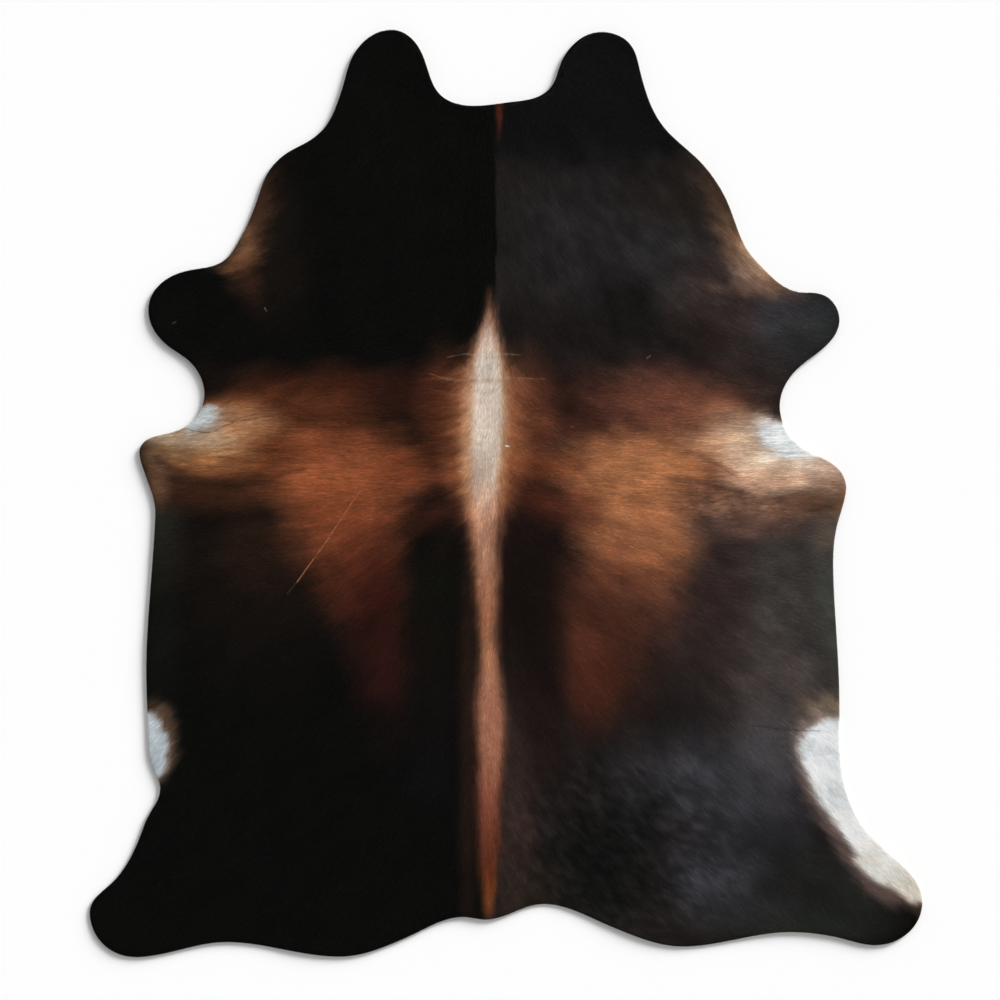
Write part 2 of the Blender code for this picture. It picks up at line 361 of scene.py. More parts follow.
# Strokes along tapered paths. Each point is x, y, half-width, red, green and blue.
Stroke = namedtuple("Stroke", "name soft fray opacity path")
STROKES = (
    Stroke("left_wing_black", 0.0362, 0.0113, 0.95, (
        (-0.109, -0.06, 0.0023, 30, 18, 15), (-0.136, -0.114, 0.0249, 20, 15, 12),
        (-0.163, -0.2, 0.0634, 16, 16, 12), (-0.17, -0.332, 0.0612, 18, 15, 12),
        (-0.17, -0.513, 0.0589, 16, 14, 13), (-0.17, -0.649, 0.0498, 14, 14, 14),
    )),
    Stroke("right_wing_black", 0.0408, 0.0113, 0.95, (
        (0.018, -0.01, 0.0068, 34, 20, 18), (0.041, -0.083, 0.0294, 24, 16, 15),
        (0.061, -0.196, 0.0476, 22, 15, 13), (0.066, -0.332, 0.0498, 23, 16, 14),
        (0.077, -0.468, 0.0453, 30, 20, 19), (0.091, -0.604, 0.0362, 32, 23, 21),
    )),
    Stroke("left_neck_edge", 0.0317, 0.0113, 0.85, (
        (-0.544, 0.728, 0.0181, 40, 28, 21), (-0.553, 0.674, 0.0272, 70, 44, 34),
        (-0.569, 0.615, 0.0272, 80, 54, 39), (-0.584, 0.556, 0.0317, 108, 73, 51),
        (-0.598, 0.52, 0.0294, 92, 58, 40), (-0.584, 0.475, 0.0272, 54, 33, 24),
        (-0.557, 0.425, 0.0136, 34, 23, 18),
    )),
    Stroke("left_neck_light", 0.0181, 0.0068, 0.6, (
        (-0.584, 0.597, 0.0091, 126, 88, 60), (-0.589, 0.552, 0.0181, 140, 102, 74),
        (-0.625, 0.515, 0.0113, 124, 82, 56), (-0.661, 0.511, 0.0045, 84, 58, 42),
    )),
    Stroke("right_neck_edge", 0.034, 0.0091, 0.85, (
        (0.417, 0.756, 0.0181, 46, 38, 31), (0.458, 0.701, 0.0272, 80, 60, 48),
        (0.489, 0.642, 0.0294, 98, 74, 56), (0.526, 0.565, 0.0294, 132, 98, 74),
        (0.557, 0.515, 0.0385, 168, 134, 110), (0.607, 0.47, 0.0181, 130, 97, 75),
        (0.657, 0.452, 0.0045, 80, 66, 60),
    )),
    Stroke("right_neck_light", 0.0159, 0.0068, 0.7, (
        (0.526, 0.597, 0.0045, 130, 100, 76), (0.553, 0.538, 0.0159, 190, 156, 130),
        (0.58, 0.497, 0.0113, 178, 141, 113),
    )),
    Stroke("right_neck_shade", 0.0136, 0.0091, 0.5, (
        (0.476, 0.466, 0.0113, 94, 70, 60), (0.535, 0.47, 0.0159, 122, 93, 78),
        (0.598, 0.461, 0.0091, 104, 80, 68),
    )),
    Stroke("left_white_halo", 0.0159, 0.0068, 0.85, (
        (-0.711, 0.153, 0.0181, 176, 158, 140), (-0.666, 0.169, 0.0294, 174, 150, 130),
        (-0.625, 0.189, 0.0113, 136, 98, 72),
    )),
    Stroke("left_white", 0.0091, 0.0045, 0.97, (
        (-0.716, 0.146, 0.0091, 188, 198, 200), (-0.695, 0.164, 0.0181, 184, 190, 190),
        (-0.673, 0.178, 0.0204, 188, 196, 196), (-0.655, 0.185, 0.0068, 180, 168, 152),
    )),
    Stroke("right_white_halo", 0.0204, 0.0068, 0.85, (
        (0.58, 0.151, 0.0227, 226, 210, 196), (0.612, 0.117, 0.043, 226, 208, 192),
        (0.68, 0.092, 0.0249, 230, 220, 208),
    )),
    Stroke("right_white", 0.0091, 0.0045, 0.98, (
        (0.587, 0.157, 0.0136, 228, 226, 226), (0.607, 0.133, 0.0294, 240, 246, 246),
        (0.643, 0.11, 0.0294, 244, 250, 250), (0.689, 0.094, 0.0113, 236, 236, 232),
    )),
    Stroke("rear_left_halo", 0.0181, 0.0068, 0.8, (
        (-0.802, -0.486, 0.0204, 66, 48, 38), (-0.795, -0.522, 0.0476, 100, 76, 58),
        (-0.795, -0.581, 0.0498, 110, 84, 66), (-0.802, -0.631, 0.0317, 106, 82, 66),
        (-0.795, -0.658, 0.0136, 82, 62, 50),
    )),
    Stroke("rear_left_white", 0.0102, 0.0041, 0.97, (
        (-0.816, -0.533, 0.0362, 180, 188, 194), (-0.811, -0.565, 0.0464, 178, 190, 195),
        (-0.813, -0.604, 0.0442, 176, 184, 190), (-0.804, -0.635, 0.0181, 172, 172, 170),
    )),
    Stroke("right_thigh_brown", 0.0249, 0.0113, 0.8, (
        (0.671, -0.486, 0.0204, 92, 78, 66), (0.72, -0.479, 0.0249, 134, 116, 96),
        (0.761, -0.486, 0.0249, 150, 130, 110),
    )),
    Stroke("rear_right_halo", 0.0204, 0.0068, 0.85, (
        (0.689, -0.554, 0.034, 104, 90, 80), (0.725, -0.567, 0.0748, 134, 116, 106),
        (0.748, -0.654, 0.0816, 122, 104, 96), (0.82, -0.746, 0.0929, 104, 86, 80),
        (0.893, -0.835, 0.1019, 102, 82, 76), (0.965, -0.907, 0.0476, 112, 86, 72),
    )),
    Stroke("rear_right_white", 0.0113, 0.0045, 0.98, (
        (0.693, -0.574, 0.0317, 222, 226, 226), (0.72, -0.572, 0.043, 232, 236, 238),
        (0.745, -0.588, 0.077, 240, 244, 246), (0.766, -0.656, 0.0714, 244, 248, 248),
        (0.816, -0.717, 0.0748, 246, 246, 243), (0.883, -0.792, 0.0974, 238, 235, 226),
        (0.94, -0.857, 0.0725, 214, 206, 193), (0.983, -0.9, 0.0294, 176, 160, 148),
    )),
    # Painted shade in the folds of the left belly and the right elbow and belly: darker strokes along
    # the creases that the relief presses in
    Stroke("left_fold_low_shade", 0.0091, 0.0068, 0.7, (
        (-0.793, 0.08, 0.0023, 60, 42, 28), (-0.761, 0.058, 0.0057, 64, 42, 30),
        (-0.702, 0.026, 0.0068, 46, 28, 18), (-0.603, 0.019, 0.0091, 48, 28, 18),
        (-0.53, 0.033, 0.0068, 60, 34, 22), (-0.458, 0.058, 0.0023, 80, 44, 28),
    )),
    Stroke("left_fold_mid_shade", 0.0068, 0.0045, 0.5, (
        (-0.643, 0.08, 0.0023, 90, 50, 32), (-0.553, 0.067, 0.0034, 76, 42, 27),
        (-0.467, 0.08, 0.0023, 92, 50, 31),
    )),
    Stroke("right_fold_high_shade", 0.0091, 0.0045, 0.6, (
        (0.376, 0.092, 0.0023, 116, 74, 52), (0.426, 0.087, 0.0045, 112, 72, 52),
        (0.462, 0.069, 0.0068, 118, 75, 54), (0.498, 0.051, 0.0068, 128, 84, 63),
        (0.532, 0.031, 0.0045, 142, 100, 77),
    )),
    Stroke("right_fold_low_shade", 0.0113, 0.0068, 0.7, (
        (0.358, 0.035, 0.0023, 112, 72, 50), (0.417, 0.028, 0.0068, 100, 64, 48),
        (0.467, 0.015, 0.0091, 92, 62, 48), (0.512, -0.001, 0.0068, 116, 84, 65),
        (0.571, -0.012, 0.0045, 118, 88, 70), (0.625, -0.015, 0.0023, 104, 74, 60),
    )),
    Stroke("right_fold_outer_shade", 0.0091, 0.0045, 0.4, (
        (0.643, -0.015, 0.0023, 118, 86, 68), (0.693, -0.001, 0.0045, 114, 82, 66),
        (0.761, 0.022, 0.0023, 120, 90, 72),
    )),
    Stroke("right_fold_edge_shade", 0.0068, 0.0045, 0.6, (
        (0.661, -0.04, 0.0023, 80, 54, 44), (0.707, -0.035, 0.0068, 72, 46, 38),
        (0.748, -0.026, 0.0034, 76, 52, 42),
    )),
    Stroke("right_fan_streak", 0.0136, 0.0068, 0.6, (
        (0.181, -0.133, 0.0023, 92, 54, 40), (0.22, -0.167, 0.0068, 82, 48, 36),
        (0.263, -0.207, 0.0068, 74, 44, 34), (0.304, -0.244, 0.0023, 66, 42, 35),
    )),
    Stroke("right_fan_streak_high", 0.0113, 0.0068, 0.35, (
        (0.24, -0.06, 0.0023, 120, 74, 50), (0.304, -0.096, 0.0057, 116, 72, 50),
        (0.358, -0.142, 0.0023, 104, 66, 48),
    )),
    Stroke("left_fan_streak", 0.0136, 0.0068, 0.5, (
        (-0.399, -0.151, 0.0023, 64, 34, 24), (-0.353, -0.196, 0.0068, 58, 30, 22),
        (-0.317, -0.255, 0.0068, 40, 22, 17), (-0.304, -0.309, 0.0023, 30, 18, 15),
    )),
    Stroke("right_edge_rust", 0.0079, 0.0045, 0.75, (
        (0.743, 0.022, 0.0045, 130, 98, 74), (0.763, -0.001, 0.0068, 124, 84, 58),
        (0.752, -0.033, 0.0091, 118, 84, 64), (0.748, -0.056, 0.0068, 112, 90, 74),
    )),
    Stroke("spine_halo", 0.0362, 0.0091, 0.95, (
        (-0.043, 0.334, 0.0181, 70, 42, 29), (-0.043, 0.289, 0.0521, 110, 66, 44),
        (-0.045, 0.23, 0.0793, 150, 94, 65), (-0.045, 0.167, 0.0816, 154, 96, 64),
        (-0.048, 0.099, 0.0838, 138, 84, 53), (-0.051, 0.035, 0.0793, 134, 80, 50),
        (-0.057, -0.028, 0.0544, 104, 60, 42), (-0.05, -0.083, 0.0362, 60, 34, 26),
    )),
    Stroke("spine_rim", 0.0159, 0.0034, 0.95, (
        (-0.036, 0.461, 0.0023, 96, 60, 44), (-0.036, 0.398, 0.0136, 152, 101, 78),
        (-0.039, 0.348, 0.0272, 172, 130, 104), (-0.044, 0.257, 0.0476, 182, 138, 106),
        (-0.049, 0.144, 0.0532, 190, 142, 108), (-0.054, 0.053, 0.0487, 192, 144, 108),
        (-0.053, -0.026, 0.0408, 162, 114, 84), (-0.049, -0.105, 0.0306, 136, 90, 68),
        (-0.046, -0.185, 0.0261, 132, 86, 64), (-0.042, -0.264, 0.0238, 126, 80, 58),
        (-0.039, -0.355, 0.0204, 128, 84, 62), (-0.039, -0.445, 0.0306, 130, 86, 66),
        (-0.034, -0.513, 0.0351, 128, 84, 64), (-0.036, -0.604, 0.0306, 114, 70, 54),
        (-0.039, -0.694, 0.0283, 98, 56, 44), (-0.039, -0.808, 0.0249, 82, 44, 32),
        (-0.041, -0.887, 0.0159, 92, 48, 28), (-0.041, -0.959, 0.0068, 100, 54, 30),
    )),
    Stroke("spine_core", 0.0113, 0.0023, 0.95, (
        (-0.039, 0.411, 0.0023, 160, 118, 96), (-0.039, 0.359, 0.0136, 194, 168, 150),
        (-0.041, 0.298, 0.0272, 206, 194, 182), (-0.041, 0.212, 0.0328, 214, 198, 184),
        (-0.044, 0.121, 0.034, 214, 198, 182), (-0.048, 0.031, 0.0294, 206, 180, 162),
        (-0.048, -0.06, 0.0238, 190, 140, 114), (-0.045, -0.151, 0.0193, 178, 128, 102),
        (-0.041, -0.264, 0.0159, 168, 110, 80), (-0.04, -0.343, 0.0125, 172, 116, 86),
        (-0.036, -0.445, 0.0204, 166, 112, 88), (-0.035, -0.524, 0.0238, 166, 110, 86),
        (-0.036, -0.615, 0.0204, 152, 98, 76), (-0.039, -0.717, 0.0181, 128, 72, 54),
        (-0.039, -0.819, 0.0147, 104, 54, 36), (-0.039, -0.885, 0.0091, 118, 60, 32),
        (-0.039, -0.948, 0.0023, 106, 60, 38),
    )),
    Stroke("spine_right_tan", 0.0091, 0.0023, 0.5, (
        (-0.002, 0.144, 0.0023, 176, 126, 90), (-0.005, 0.053, 0.0068, 170, 118, 84),
        (-0.011, -0.06, 0.0068, 146, 98, 68), (-0.018, -0.196, 0.0045, 136, 86, 62),
        (-0.02, -0.264, 0.0023, 120, 74, 54),
    )),
    Stroke("spine_line_left", 0.0036, 0.0011, 0.5, (
        (-0.059, -0.083, 0.0007, 140, 92, 70), (-0.054, -0.173, 0.0014, 132, 84, 62),
        (-0.048, -0.264, 0.0011, 124, 78, 56), (-0.043, -0.355, 0.0007, 130, 84, 62),
    )),
    Stroke("spine_line_right", 0.0041, 0.0011, 0.6, (
        (-0.036, -0.015, 0.0007, 160, 116, 92), (-0.034, -0.128, 0.0018, 124, 78, 56),
        (-0.033, -0.241, 0.0023, 112, 68, 46), (-0.034, -0.332, 0.0014, 116, 72, 52),
    )),
    Stroke("spine_light_line", 0.0036, 0.0011, 0.6, (
        (-0.048, -0.105, 0.0007, 184, 140, 112), (-0.044, -0.241, 0.0018, 178, 128, 100),
        (-0.041, -0.355, 0.0011, 170, 120, 94), (-0.043, -0.468, 0.0014, 164, 114, 90),
    )),
    Stroke("nape_stripe", 0.0036, 0.0011, 0.95, (
        (-0.015, 0.889, 0.0059, 74, 32, 20), (-0.015, 0.851, 0.0054, 72, 34, 26),
        (-0.016, 0.814, 0.0032, 44, 24, 19), (-0.017, 0.787, 0.0009, 26, 18, 16),
    )),
    Stroke("wither_wrinkle_high", 0.0027, 0.0014, 0.6, (
        (-0.095, 0.316, 0.0009, 128, 88, 66), (-0.05, 0.309, 0.0018, 210, 190, 174),
        (-0.014, 0.311, 0.0018, 180, 140, 116), (0.014, 0.316, 0.0007, 96, 60, 44),
    )),
    Stroke("wither_wrinkle_mid", 0.0027, 0.0018, 0.6, (
        (-0.195, 0.257, 0.0009, 96, 56, 38), (-0.15, 0.262, 0.0018, 120, 72, 48),
        (-0.116, 0.255, 0.002, 168, 122, 90), (-0.014, 0.255, 0.0018, 190, 150, 124),
        (0.054, 0.257, 0.0014, 110, 68, 46), (0.095, 0.257, 0.0007, 80, 46, 34),
    )),
    Stroke("wither_wrinkle_low", 0.0027, 0.0018, 0.45, (
        (-0.172, 0.23, 0.0009, 104, 60, 40), (-0.122, 0.225, 0.0018, 150, 96, 66),
        (-0.086, 0.219, 0.0018, 196, 160, 136),
    )),
)

# Mottles: patches where noise drawn out along the hair darkens and lightens the coat
Mottle = namedtuple("Mottle", "name side x y reach_x reach_y cell length gain")
MOTTLES = (
    Mottle("whole_coat_grain", "both", -0.014, -0.015, 1.359, 1.359, 0.0036, 0.0204, 0.06),
    Mottle("whole_coat_clouds", "both", -0.014, -0.015, 1.359, 1.359, 0.0317, 0.0589, 0.05),
    Mottle("right_neck_clouds", "right", 0.258, 0.552, 0.34, 0.272, 0.0159, 0.0272, 0.07),
    Mottle("right_neck_patches", "right", 0.304, 0.529, 0.34, 0.272, 0.0544, 0.0544, 0.05),
    Mottle("right_flank_clouds", "right", 0.575, -0.241, 0.249, 0.272, 0.0204, 0.0317, 0.05),
    Mottle("right_rump_clumps", "right", 0.258, -0.808, 0.249, 0.215, 0.0113, 0.0159, 0.15),
    Mottle("right_rump_patches", "right", 0.349, -0.785, 0.385, 0.249, 0.0362, 0.0362, 0.07),
    Mottle("left_elbow_mottle", "left", -0.634, 0.094, 0.181, 0.077, 0.0054, 0.0317, 0.09),
    Mottle("right_elbow_mottle", "right", 0.526, -0.022, 0.122, 0.039, 0.005, 0.0136, 0.14),
    Mottle("left_rust_strands", "left", -0.376, 0.053, 0.34, 0.249, 0.0045, 0.068, 0.09),
    Mottle("left_rust_patches", "left", -0.376, 0.121, 0.34, 0.272, 0.0294, 0.068, 0.07),
    Mottle("right_rust_strands", "right", 0.304, 0.031, 0.362, 0.272, 0.0045, 0.068, 0.08),
    Mottle("right_rust_patches", "right", 0.349, 0.144, 0.34, 0.272, 0.0227, 0.0408, 0.06),
    Mottle("spine_strands", "both", -0.041, -0.151, 0.059, 0.725, 0.0027, 0.1133, 0.06),
)

# Creases pressed into the hide
Crease = namedtuple("Crease", "name depth width path")
CREASES = (
    Crease("left_armpit_fold", 0.001, 0.006, (
        (-0.732, 0.139), (-0.659, 0.139), (-0.614, 0.155), (-0.553, 0.178), (-0.501, 0.173),
    )),
    Crease("left_belly_fold", 0.0008, 0.008, (
        (-0.806, 0.071), (-0.693, 0.035), (-0.557, 0.042), (-0.467, 0.058),
    )),
    Crease("right_elbow_fold_upper", 0.001, 0.006, (
        (0.376, 0.092), (0.426, 0.087), (0.467, 0.067), (0.503, 0.049), (0.539, 0.026),
    )),
    Crease("right_elbow_fold_lower", 0.001, 0.006, (
        (0.358, 0.035), (0.417, 0.028), (0.471, 0.012), (0.526, -0.001), (0.616, -0.012),
    )),
    Crease("right_elbow_fold_outer", 0.0008, 0.006, (
        (0.598, 0.017), (0.68, 0.031), (0.761, 0.062),
    )),
    Crease("right_belly_fold", 0.001, 0.007, ((0.643, -0.046), (0.716, -0.037), (0.77, -0.019))),
    Crease("right_foreleg_fold", 0.0008, 0.012, ((0.417, 0.275), (0.485, 0.311), (0.575, 0.352))),
    Crease("right_thigh_fold", 0.001, 0.006, ((0.557, -0.531), (0.655, -0.538), (0.761, -0.538))),
    Crease("withers_fold", 0.0005, 0.004, ((-0.172, 0.316), (-0.036, 0.309), (0.088, 0.321))),
    Crease("withers_fold_low", 0.0005, 0.004, ((-0.163, 0.257), (-0.036, 0.257), (0.088, 0.257))),
)

# Wrinkles, scratches and specks as fine as one hair; the dark wrinkle lines are painted shade in the
# hide's folds
ThinLine = namedtuple("ThinLine", "name half_width strength color path")
THIN_LINES = (
    ThinLine("flank_scratch", 0.0009, 0.7, (176, 112, 76), (
        (-0.3307, 0.0057), (-0.3693, -0.051), (-0.4032, -0.1031), (-0.4395, -0.1529),
        (-0.4735, -0.2005),
    )),
    ThinLine("flank_scratch_tail", 0.0009, 0.35, (110, 70, 52), (
        (-0.4757, -0.2028), (-0.4961, -0.2277),
    )),
    # painted shade in the folds of the left armpit and the left band
    ThinLine("left_armpit_wrinkle", 0.0009, 0.6, (62, 46, 36), (
        (-0.7249, 0.1461), (-0.7023, 0.1405), (-0.6751, 0.1382), (-0.6547, 0.1439),
        (-0.6343, 0.1552), (-0.6071, 0.1642), (-0.5799, 0.1665), (-0.5528, 0.1733),
        (-0.5256, 0.1756),
    )),
    ThinLine("left_armpit_wrinkle_low", 0.0008, 0.4, (84, 60, 46), (
        (-0.6298, 0.1574), (-0.6117, 0.1688), (-0.5935, 0.1733), (-0.5663, 0.1801),
    )),
    ThinLine("left_band_wrinkle_shade", 0.0008, 0.35, (70, 36, 24), (
        (-0.5528, 0.1031), (-0.5029, 0.0963), (-0.4531, 0.0985), (-0.3987, 0.0917),
        (-0.3534, 0.094),
    )),
    # painted shade in the folds of the right white patch and the right elbow
    ThinLine("right_white_wrinkle_shade", 0.001, 0.6, (150, 150, 152), (
        (0.5686, 0.0985), (0.6343, 0.0917), (0.6932, 0.094),
    )),
    ThinLine("right_elbow_wrinkle", 0.0009, 0.45, (92, 62, 46), (
        (0.3761, 0.094), (0.4168, 0.0917), (0.444, 0.0827), (0.4712, 0.0668), (0.4984, 0.0532),
        (0.5256, 0.0351),
    )),
    ThinLine("right_elbow_wrinkle_mid", 0.0009, 0.4, (92, 62, 46), (
        (0.3851, 0.0306), (0.4259, 0.0283), (0.4576, 0.0193), (0.4893, 0.0102), (0.521, 0.0011),
    )),
    ThinLine("right_elbow_edge", 0.0009, 0.45, (100, 74, 58), (
        (0.666, -0.0079), (0.6932, -0.0057), (0.7249, 0.0034), (0.7521, 0.017),
    )),
    # painted shade in the fold of the right thigh
    ThinLine("thigh_crease_shade", 0.001, 0.4, (30, 26, 26), (
        (0.5573, -0.5267), (0.589, -0.529), (0.6252, -0.5335), (0.6615, -0.5358), (0.7113, -0.538),
    )),
    ThinLine("withers_crease_light", 0.0009, 0.2, (196, 148, 116), (
        (-0.1722, 0.2707), (-0.1405, 0.2617), (-0.0997, 0.2571), (-0.0453, 0.2594),
        (0.0181, 0.2617), (0.0883, 0.2594),
    )),
    ThinLine("withers_crease_high", 0.0009, 0.17, (206, 176, 152), (
        (-0.1314, 0.3092), (-0.0951, 0.316), (-0.0453, 0.3115), (0.0, 0.316), (0.0317, 0.3138),
    )),
    ThinLine("withers_crease_low", 0.0008, 0.2, (150, 100, 70), (
        (-0.1767, 0.2367), (-0.1495, 0.2322), (-0.1223, 0.2254), (-0.0906, 0.2209),
    )),
    ThinLine("spine_speck", 0.0012, 0.9, (236, 236, 232), ((0.0, 0.1076), (0.0068, 0.1067))),
    ThinLine("shoulder_speck", 0.001, 0.6, (140, 140, 130), ((-0.5469, 0.4202), (-0.5428, 0.4134))),
    ThinLine("foreleg_speck", 0.001, 0.45, (104, 116, 116), ((-0.7544, 0.3862), (-0.7476, 0.389))),
    ThinLine("flank_speck", 0.001, 0.7, (196, 190, 180), (
        (0.7091, 0.0442), (0.7159, 0.0419), (0.7227, 0.0428),
    )),
    ThinLine("rust_speck_high", 0.0011, 0.4, (140, 112, 98), ((0.3194, 0.307), (0.3262, 0.3124))),
    ThinLine("rust_speck_left", 0.0011, 0.35, (140, 108, 90), ((0.3002, 0.2571), (0.3058, 0.2589))),
    ThinLine("rust_speck_low", 0.0011, 0.4, (130, 98, 80), ((0.1482, 0.1506), (0.1522, 0.152))),
)


# ------------------------------------------------------------------ noise and hair flow
def smooth_step(t):
    """0 below 0, 1 above 1, and 3t^2 - 2t^3 between."""
    t = np.clip(t, 0.0, 1.0)
    return t * t * (3.0 - 2.0 * t)


def between_points(values, low, high, share):
    """A square lattice's values read between its points low and high, by the share of the way
    from one to the other: evenly along x, then along y."""
    (ix, iy), (jx, jy), (fx, fy) = low, high, share
    lower = values[ix, iy] * (1 - fx) + values[jx, iy] * fx
    upper = values[ix, jy] * (1 - fx) + values[jx, jy] * fx
    return lower * (1 - fy) + upper * fy


def lattice_noise(x, y, cell, seed):
    """Smooth noise from -1 to 1: random heights on a square lattice, eased between them."""
    heights = np.random.default_rng(seed).uniform(-1.0, 1.0, (LATTICE, LATTICE))
    gx = x / cell + LATTICE_SHIFT[0]
    gy = y / cell + LATTICE_SHIFT[1]
    ix = np.floor(gx).astype(int)
    iy = np.floor(gy).astype(int)
    share = smooth_step(gx - ix), smooth_step(gy - iy)
    low = ix % LATTICE, iy % LATTICE
    high = (ix + 1) % LATTICE, (iy + 1) % LATTICE
    return between_points(heights, low, high, share)


def cloudy(x, y, cell, seed):
    """Octaves of lattice noise, each half as wide and just over half as strong."""
    total = 0.0
    for octave, strength in enumerate(CLOUD_OCTAVES):
        total = total + strength * lattice_noise(x, y, cell / 2**octave, seed + octave)
    return total / CLOUD_LEVEL


def hair_flow(x, y):
    """Unit vectors in which the hair lies: backwards along the spine, turning outwards with
    the distance from it, most at the belly, and swirling a little."""
    from_spine = x - SPINE_X
    side = np.tanh(from_spine / FLOW_PARTING)
    reach = np.clip(np.abs(from_spine) / FLOW_REACH, 0.0, 1.0)
    belly = np.exp(-(((y - FLOW_BELLY_Y) / FLOW_BELLY_LENGTH) ** 2))
    near = smooth_step(np.abs(from_spine) / FLOW_NEAR)
    outward = FLOW_OUTWARD * near + FLOW_SPREAD * reach + FLOW_BELLY_TURN * belly * near
    angle = outward * side
    for swirl in FLOW_SWIRLS:
        angle = angle + swirl.turn * lattice_noise(x, y, swirl.cell, swirl.seed)
    return np.sin(angle), -np.cos(angle)


def streaked(x, y, cell, length, seed):
    """Lattice noise smeared along the hair, so that it frays a marking into strands."""
    dx, dy = hair_flow(x, y)
    total = 0.0
    for share in STREAK_SHARES:
        step = share * length
        total = total + lattice_noise(x + dx * step, y + dy * step, cell, seed)
    return total / len(STREAK_SHARES) ** 0.5


# ------------------------------------------------------------------ painting the coat
def parting_x(y):
    """Where the black left half meets the right one: on the nape line, then on the spine."""
    return NAPE_X + (SPINE_X - NAPE_X) * smooth_step((PARTING_TOP - y) / PARTING_BEND)


def shares_of_sides(x, y, strands):
    """How far each point belongs to either side of the frayed parting, and to both."""
    past_parting = x - parting_x(y) + PARTING_FRAY * strands
    right = smooth_step(past_parting / PARTING_SOFT + 0.5)
    return {"both": 1.0, "right": right, "left": 1.0 - right}


def blot_weight(blot, x, y, clouds, strands):
    """Weight of one blot: an ellipse whose edge is moved by clouds and strands, then eased."""
    turn = np.radians(blot.turn)
    dx = x - blot.x
    dy = y - blot.y
    along = (dx * np.cos(turn) + dy * np.sin(turn)) / blot.reach_x
    across = (dy * np.cos(turn) - dx * np.sin(turn)) / blot.reach_y
    distance = np.hypot(along, across)
    distance = distance + blot.fray * (CLOUD_FRAY * clouds + STRAND_FRAY * strands)
    return blot.opacity * smooth_step((1 + blot.soft - distance) / (2 * blot.soft))


def along_path(path, x, y):
    """For each point, the distance past a tapered path's half-width, and what the path bears
    there: the nearest of its straight steps, on which all values change evenly. A point of
    the path is x, y, half-width and the values that it bears."""
    beyond = np.full(x.shape, np.inf)
    borne = np.zeros(x.shape + (len(path[0]) - 3,))
    for start, end in zip(path[:-1], path[1:]):
        step_x = end[0] - start[0]
        step_y = end[1] - start[1]
        t = ((x - start[0]) * step_x + (y - start[1]) * step_y) / (step_x**2 + step_y**2)
        t = np.clip(t, 0.0, 1.0)
        half_width = start[2] + (end[2] - start[2]) * t
        past = np.hypot(x - start[0] - t * step_x, y - start[1] - t * step_y) - half_width
        nearer = past < beyond
        beyond = np.where(nearer, past, beyond)
        mixed = start[3:] + np.subtract(end[3:], start[3:]) * t[..., None]
        borne = np.where(nearer[..., None], mixed, borne)
    return beyond, borne


def stroke_weight(stroke, beyond, strands):
    """Weight of one stroke: its edge is moved by the strands, then eased."""
    beyond = beyond + stroke.fray * strands
    return stroke.opacity * smooth_step((stroke.soft - beyond) / (2 * stroke.soft))


def mottled_shade(x, y, side_shares):
    """The mottles' shade: the sum of streaked noises, each eased out past its own ellipse."""
    shade = np.zeros(x.shape)
    for seed, mottle in enumerate(MOTTLES, MOTTLE_SEED):
        apart = np.hypot((x - mottle.x) / mottle.reach_x, (y - mottle.y) / mottle.reach_y)
        weight = smooth_step((MOTTLE_END - apart) / MOTTLE_FADE) * side_shares[mottle.side]
        shade += mottle.gain * weight * streaked(x, y, mottle.cell, mottle.length, seed)
    return shade


def coat_color(x, y):
    """The coat's colour at each point, as sRGB from 0 to 255: the black ground, over it every
    blot and stroke in turn, and at the end the mottles' shade."""
    strands = 0.0
    for layer in STRAND_LAYERS:
        strands = strands + layer.strength * streaked(x, y, layer.cell, layer.length, layer.seed)
    clouds = cloudy(x, y, CLOUD_CELL, CLOUD_SEED)
    side_shares = shares_of_sides(x, y, strands)
    color = np.tile(np.array(GROUND_COLOR, float), x.shape + (1,))
    for blot in BLOTS:
        weight = blot_weight(blot, x, y, clouds, strands) * side_shares[blot.side]
        color += (np.array(blot.color) - color) * weight[..., None]
    for stroke in STROKES:
        beyond, paint = along_path(stroke.path, x, y)
        color += (paint - color) * stroke_weight(stroke, beyond, strands)[..., None]
    return color * np.exp(mottled_shade(x, y, side_shares))[..., None]


# ------------------------------------------------------------------ outline of the hide
def cad_hair_tips():
    """The CAD hide's widest ring, as ordered points clockwise round the hide.

    The mesh is loose triangles, so corners at one place are merged first. Each edge of the
    ring then belongs to one triangle above it, whose direction gives the order."""
    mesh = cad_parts["hide"].data
    places = np.empty(len(mesh.vertices) * 3)
    mesh.vertices.foreach_get("co", places)
    corners = np.empty(len(mesh.loops), int)
    mesh.loops.foreach_get("vertex_index", corners)
    places, merged = np.unique(places.reshape(-1, 3).round(MERGE_DIGITS), axis=0, return_inverse=True)
    triangles = merged.ravel()[corners].reshape(-1, 3)
    above_tips = places[:, 2] - HAIR_TIP_HEIGHT
    edges = np.concatenate([triangles[:, [k, (k + 1) % 3, (k + 2) % 3]] for k in range(3)])
    on_ring = (np.abs(above_tips[edges[:, :2]]) < RING_TOLERANCE).all(axis=1)
    edges = edges[on_ring & (above_tips[edges[:, 2]] > RING_TOLERANCE)]
    following = dict(zip(edges[:, 1].tolist(), edges[:, 0].tolist()))
    ring = [int(edges[0, 1])]
    while following[ring[-1]] != ring[0]:
        ring.append(following[ring[-1]])
    return places[ring, :2]


def rounded_loop(points):
    """A closed Catmull-Rom curve through the points, OUTLINE_FINE steps to each side."""
    before = np.roll(points, 1, axis=0)
    after = np.roll(points, -1, axis=0)
    beyond = np.roll(points, -2, axis=0)
    t = np.linspace(0, 1, OUTLINE_FINE, endpoint=False)[:, None, None]
    curve = 0.5 * (
        2 * points
        + (after - before) * t
        + (2 * before - 5 * points + 4 * after - beyond) * t**2
        + (3 * points - before - 3 * after + beyond) * t**3
    )
    return curve.transpose(1, 0, 2).reshape(-1, 2)


